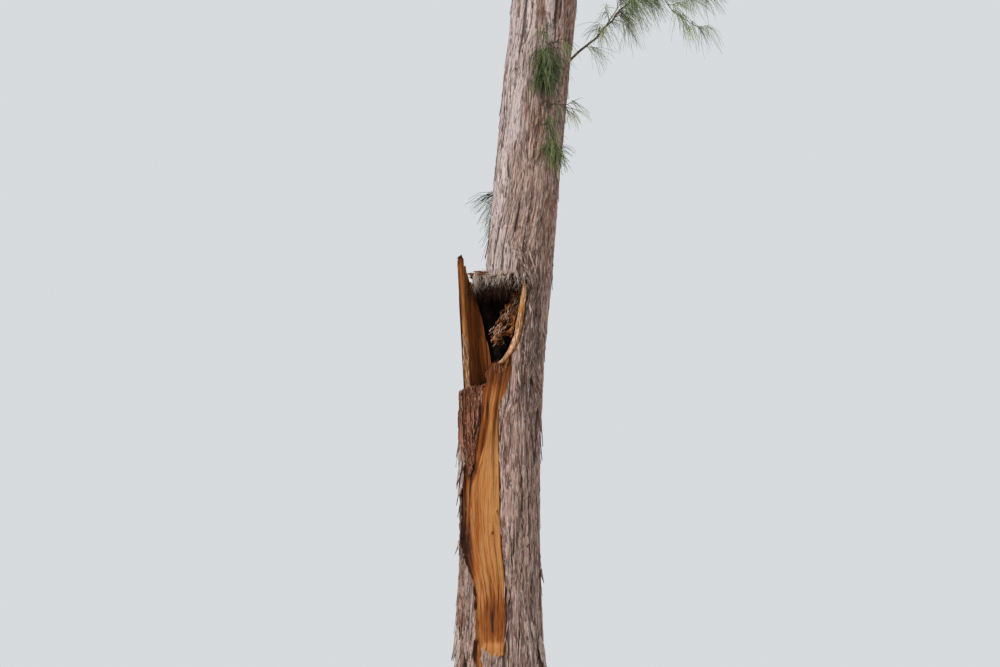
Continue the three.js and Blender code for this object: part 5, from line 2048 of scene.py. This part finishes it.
def needle_sprays(mass, fine, random, chosen):
    """A mass's needles, spray by spray."""
    count, length, radius = chosen.count, chosen.length / MM, chosen.radius / MM
    roots, steps, spread = spray_roots(mass, fine), 2, 0.3
    if mass["name"] in FRONT_TUFTS:
        roots = front_tuft_roots(mass["name"], random) + roots[::4]
        length = 125 if mass["name"] == "tuft_front_upper" else 105
        count, radius, steps, spread = 9, 1.1, 4, 0.32
    elif mass["name"] == "shoot_right":
        count, length, radius, steps = 6, 150, 0.95, 3
    elif mass["name"].startswith("tuft"):
        count, length, radius = 8, 160, 1.3
    sprays = []
    for root, heading in roots:
        spray = []
        for _ in range(count):
            aside = unit(heading + random.normal(0, spread, 3))
            reach = length * random.uniform(0.4, 1.15)
            strand = needle(random, root + random.normal(0, 6, 3), aside, reach, radius, steps)
            if in_reach(strand[0]):
                spray.append(strand)
        sprays.append(spray)
    return sprays


def spray_odds(name):
    """How often a mass's sprays have each shade."""
    if name.startswith("rusty"):
        return RUSTS, (0.6, 0.4)
    if name == "shoot_right":
        return GREENS, (0.15, 0.4, 0.45)
    return GREENS, (0.42, 0.34, 0.24) if name in FRONT_TUFTS else (0.36, 0.42, 0.22)


class TREE_OT_needles(bpy.types.Operator):
    """Drooping needles in sprays: greens on the living masses, rusts on the dead one"""

    bl_idname = "tree.needles"
    bl_label = "Needles"

    def execute(self, context):
        random = np.random.default_rng(31)
        groups = {key: [] for key in NEEDLE_SHADES}
        nodes = {"green_needles": [], "rusty_dead_needles": []}
        for mass, _, fine, _ in grown_twigs():
            if mass["habit"]["sprays"] == 0:
                continue
            keys, odds = spray_odds(mass["name"])
            nodes["rusty_dead_needles" if keys == RUSTS else "green_needles"].append(mass["name"])
            for spray in needle_sprays(mass, fine, random, context.scene.tree_needles):
                groups[random.choice(keys, p=odds)] += spray
        for key, strands in groups.items():
            piece = make_strands(key, strands, 3, key, smooth=False)
            dress(piece, "rusty_needles" if key in RUSTS else "green_needles", *nodes.get(key, []))
        return {"FINISHED"}


# The stage


class TREE_OT_stage(bpy.types.Operator):
    """A pale floor, soft light and the camera at the photograph's place"""

    bl_idname = "tree.stage"
    bl_label = "Stage"

    def execute(self, context):
        scene, chosen = context.scene, context.scene.tree_stage
        side = 200000
        corners = [(-side, -side, -1), (side, -side, -1), (side, side, -1), (-side, side, -1)]
        make_plain("matt_studio_floor", chosen.floor, 0.9)
        new_object("floor", corners, [[[0, 1, 2, 3]]], ["matt_studio_floor"])
        scene.world = bpy.data.worlds.new("soft_studio")
        scene.world.use_nodes = True
        background = scene.world.node_tree.nodes["Background"]
        background.inputs["Color"].default_value = chosen.backdrop
        background.inputs["Strength"].default_value = 0.8
        add_light("key_light", chosen.sun, 9, (50, 0, -42))
        add_light("fill_light", chosen.fill, 70, (60, 0, 58))
        lens = bpy.data.cameras.new("camera")
        lens.lens, lens.sensor_width, lens.clip_end = 85, 36, 500
        camera = link_object("camera", lens)
        camera.location = (0, -10.9, 1.6)
        camera.rotation_euler = (math.radians(102), 0, 0)
        scene.camera = camera
        scene.view_settings.view_transform = "Standard"
        return {"FINISHED"}


def add_light(name, strength, softness, turn):
    """A distant light. Its softness and its turn are in degrees."""
    lamp = bpy.data.lights.new(name, "SUN")
    lamp.energy = strength
    lamp.angle = math.radians(softness)
    lamp.color = (1.0, 0.96, 0.91)
    placed = link_object(name, lamp)
    placed.rotation_euler = [math.radians(part) for part in turn]
    placed.location = (0, -6, 15)


OPERATORS = (
    TREE_OT_stage,
    TREE_OT_trunk,
    TREE_OT_shard,
    TREE_OT_hollow,
    TREE_OT_fibres,
    TREE_OT_loose_bark,
    TREE_OT_boughs,
    TREE_OT_twigs,
    TREE_OT_needles,
)


class TREE_PT_pieces(bpy.types.Panel):
    """The tree's pieces, each built by its button"""

    bl_idname = "TREE_PT_pieces"
    bl_label = "Storm-broken ironwood"
    bl_space_type = "VIEW_3D"
    bl_region_type = "UI"
    bl_category = "Tree"

    def draw(self, context):
        for operator in OPERATORS:
            self.layout.operator(operator.bl_idname)
        for key, group in SETTINGS.items():
            box = self.layout.box()
            for name in group.__annotations__:
                box.prop(getattr(context.scene, key), name)


def register():
    for kind in (*SETTINGS.values(), *OPERATORS, TREE_PT_pieces):
        bpy.utils.register_class(kind)
    for key, group in SETTINGS.items():
        setattr(bpy.types.Scene, key, PointerProperty(type=group))


def unregister():
    for key in SETTINGS:
        delattr(bpy.types.Scene, key)
    for kind in (TREE_PT_pieces, *reversed(OPERATORS), *reversed(SETTINGS.values())):
        bpy.utils.unregister_class(kind)


def main():
    register()
    bpy.ops.tree.stage()
    bpy.ops.tree.trunk()
    bpy.ops.tree.shard()
    bpy.ops.tree.hollow()
    bpy.ops.tree.fibres()
    bpy.ops.tree.loose_bark()
    bpy.ops.tree.boughs()
    bpy.ops.tree.twigs()
    bpy.ops.tree.needles()


if __name__ == "__main__":
    main()
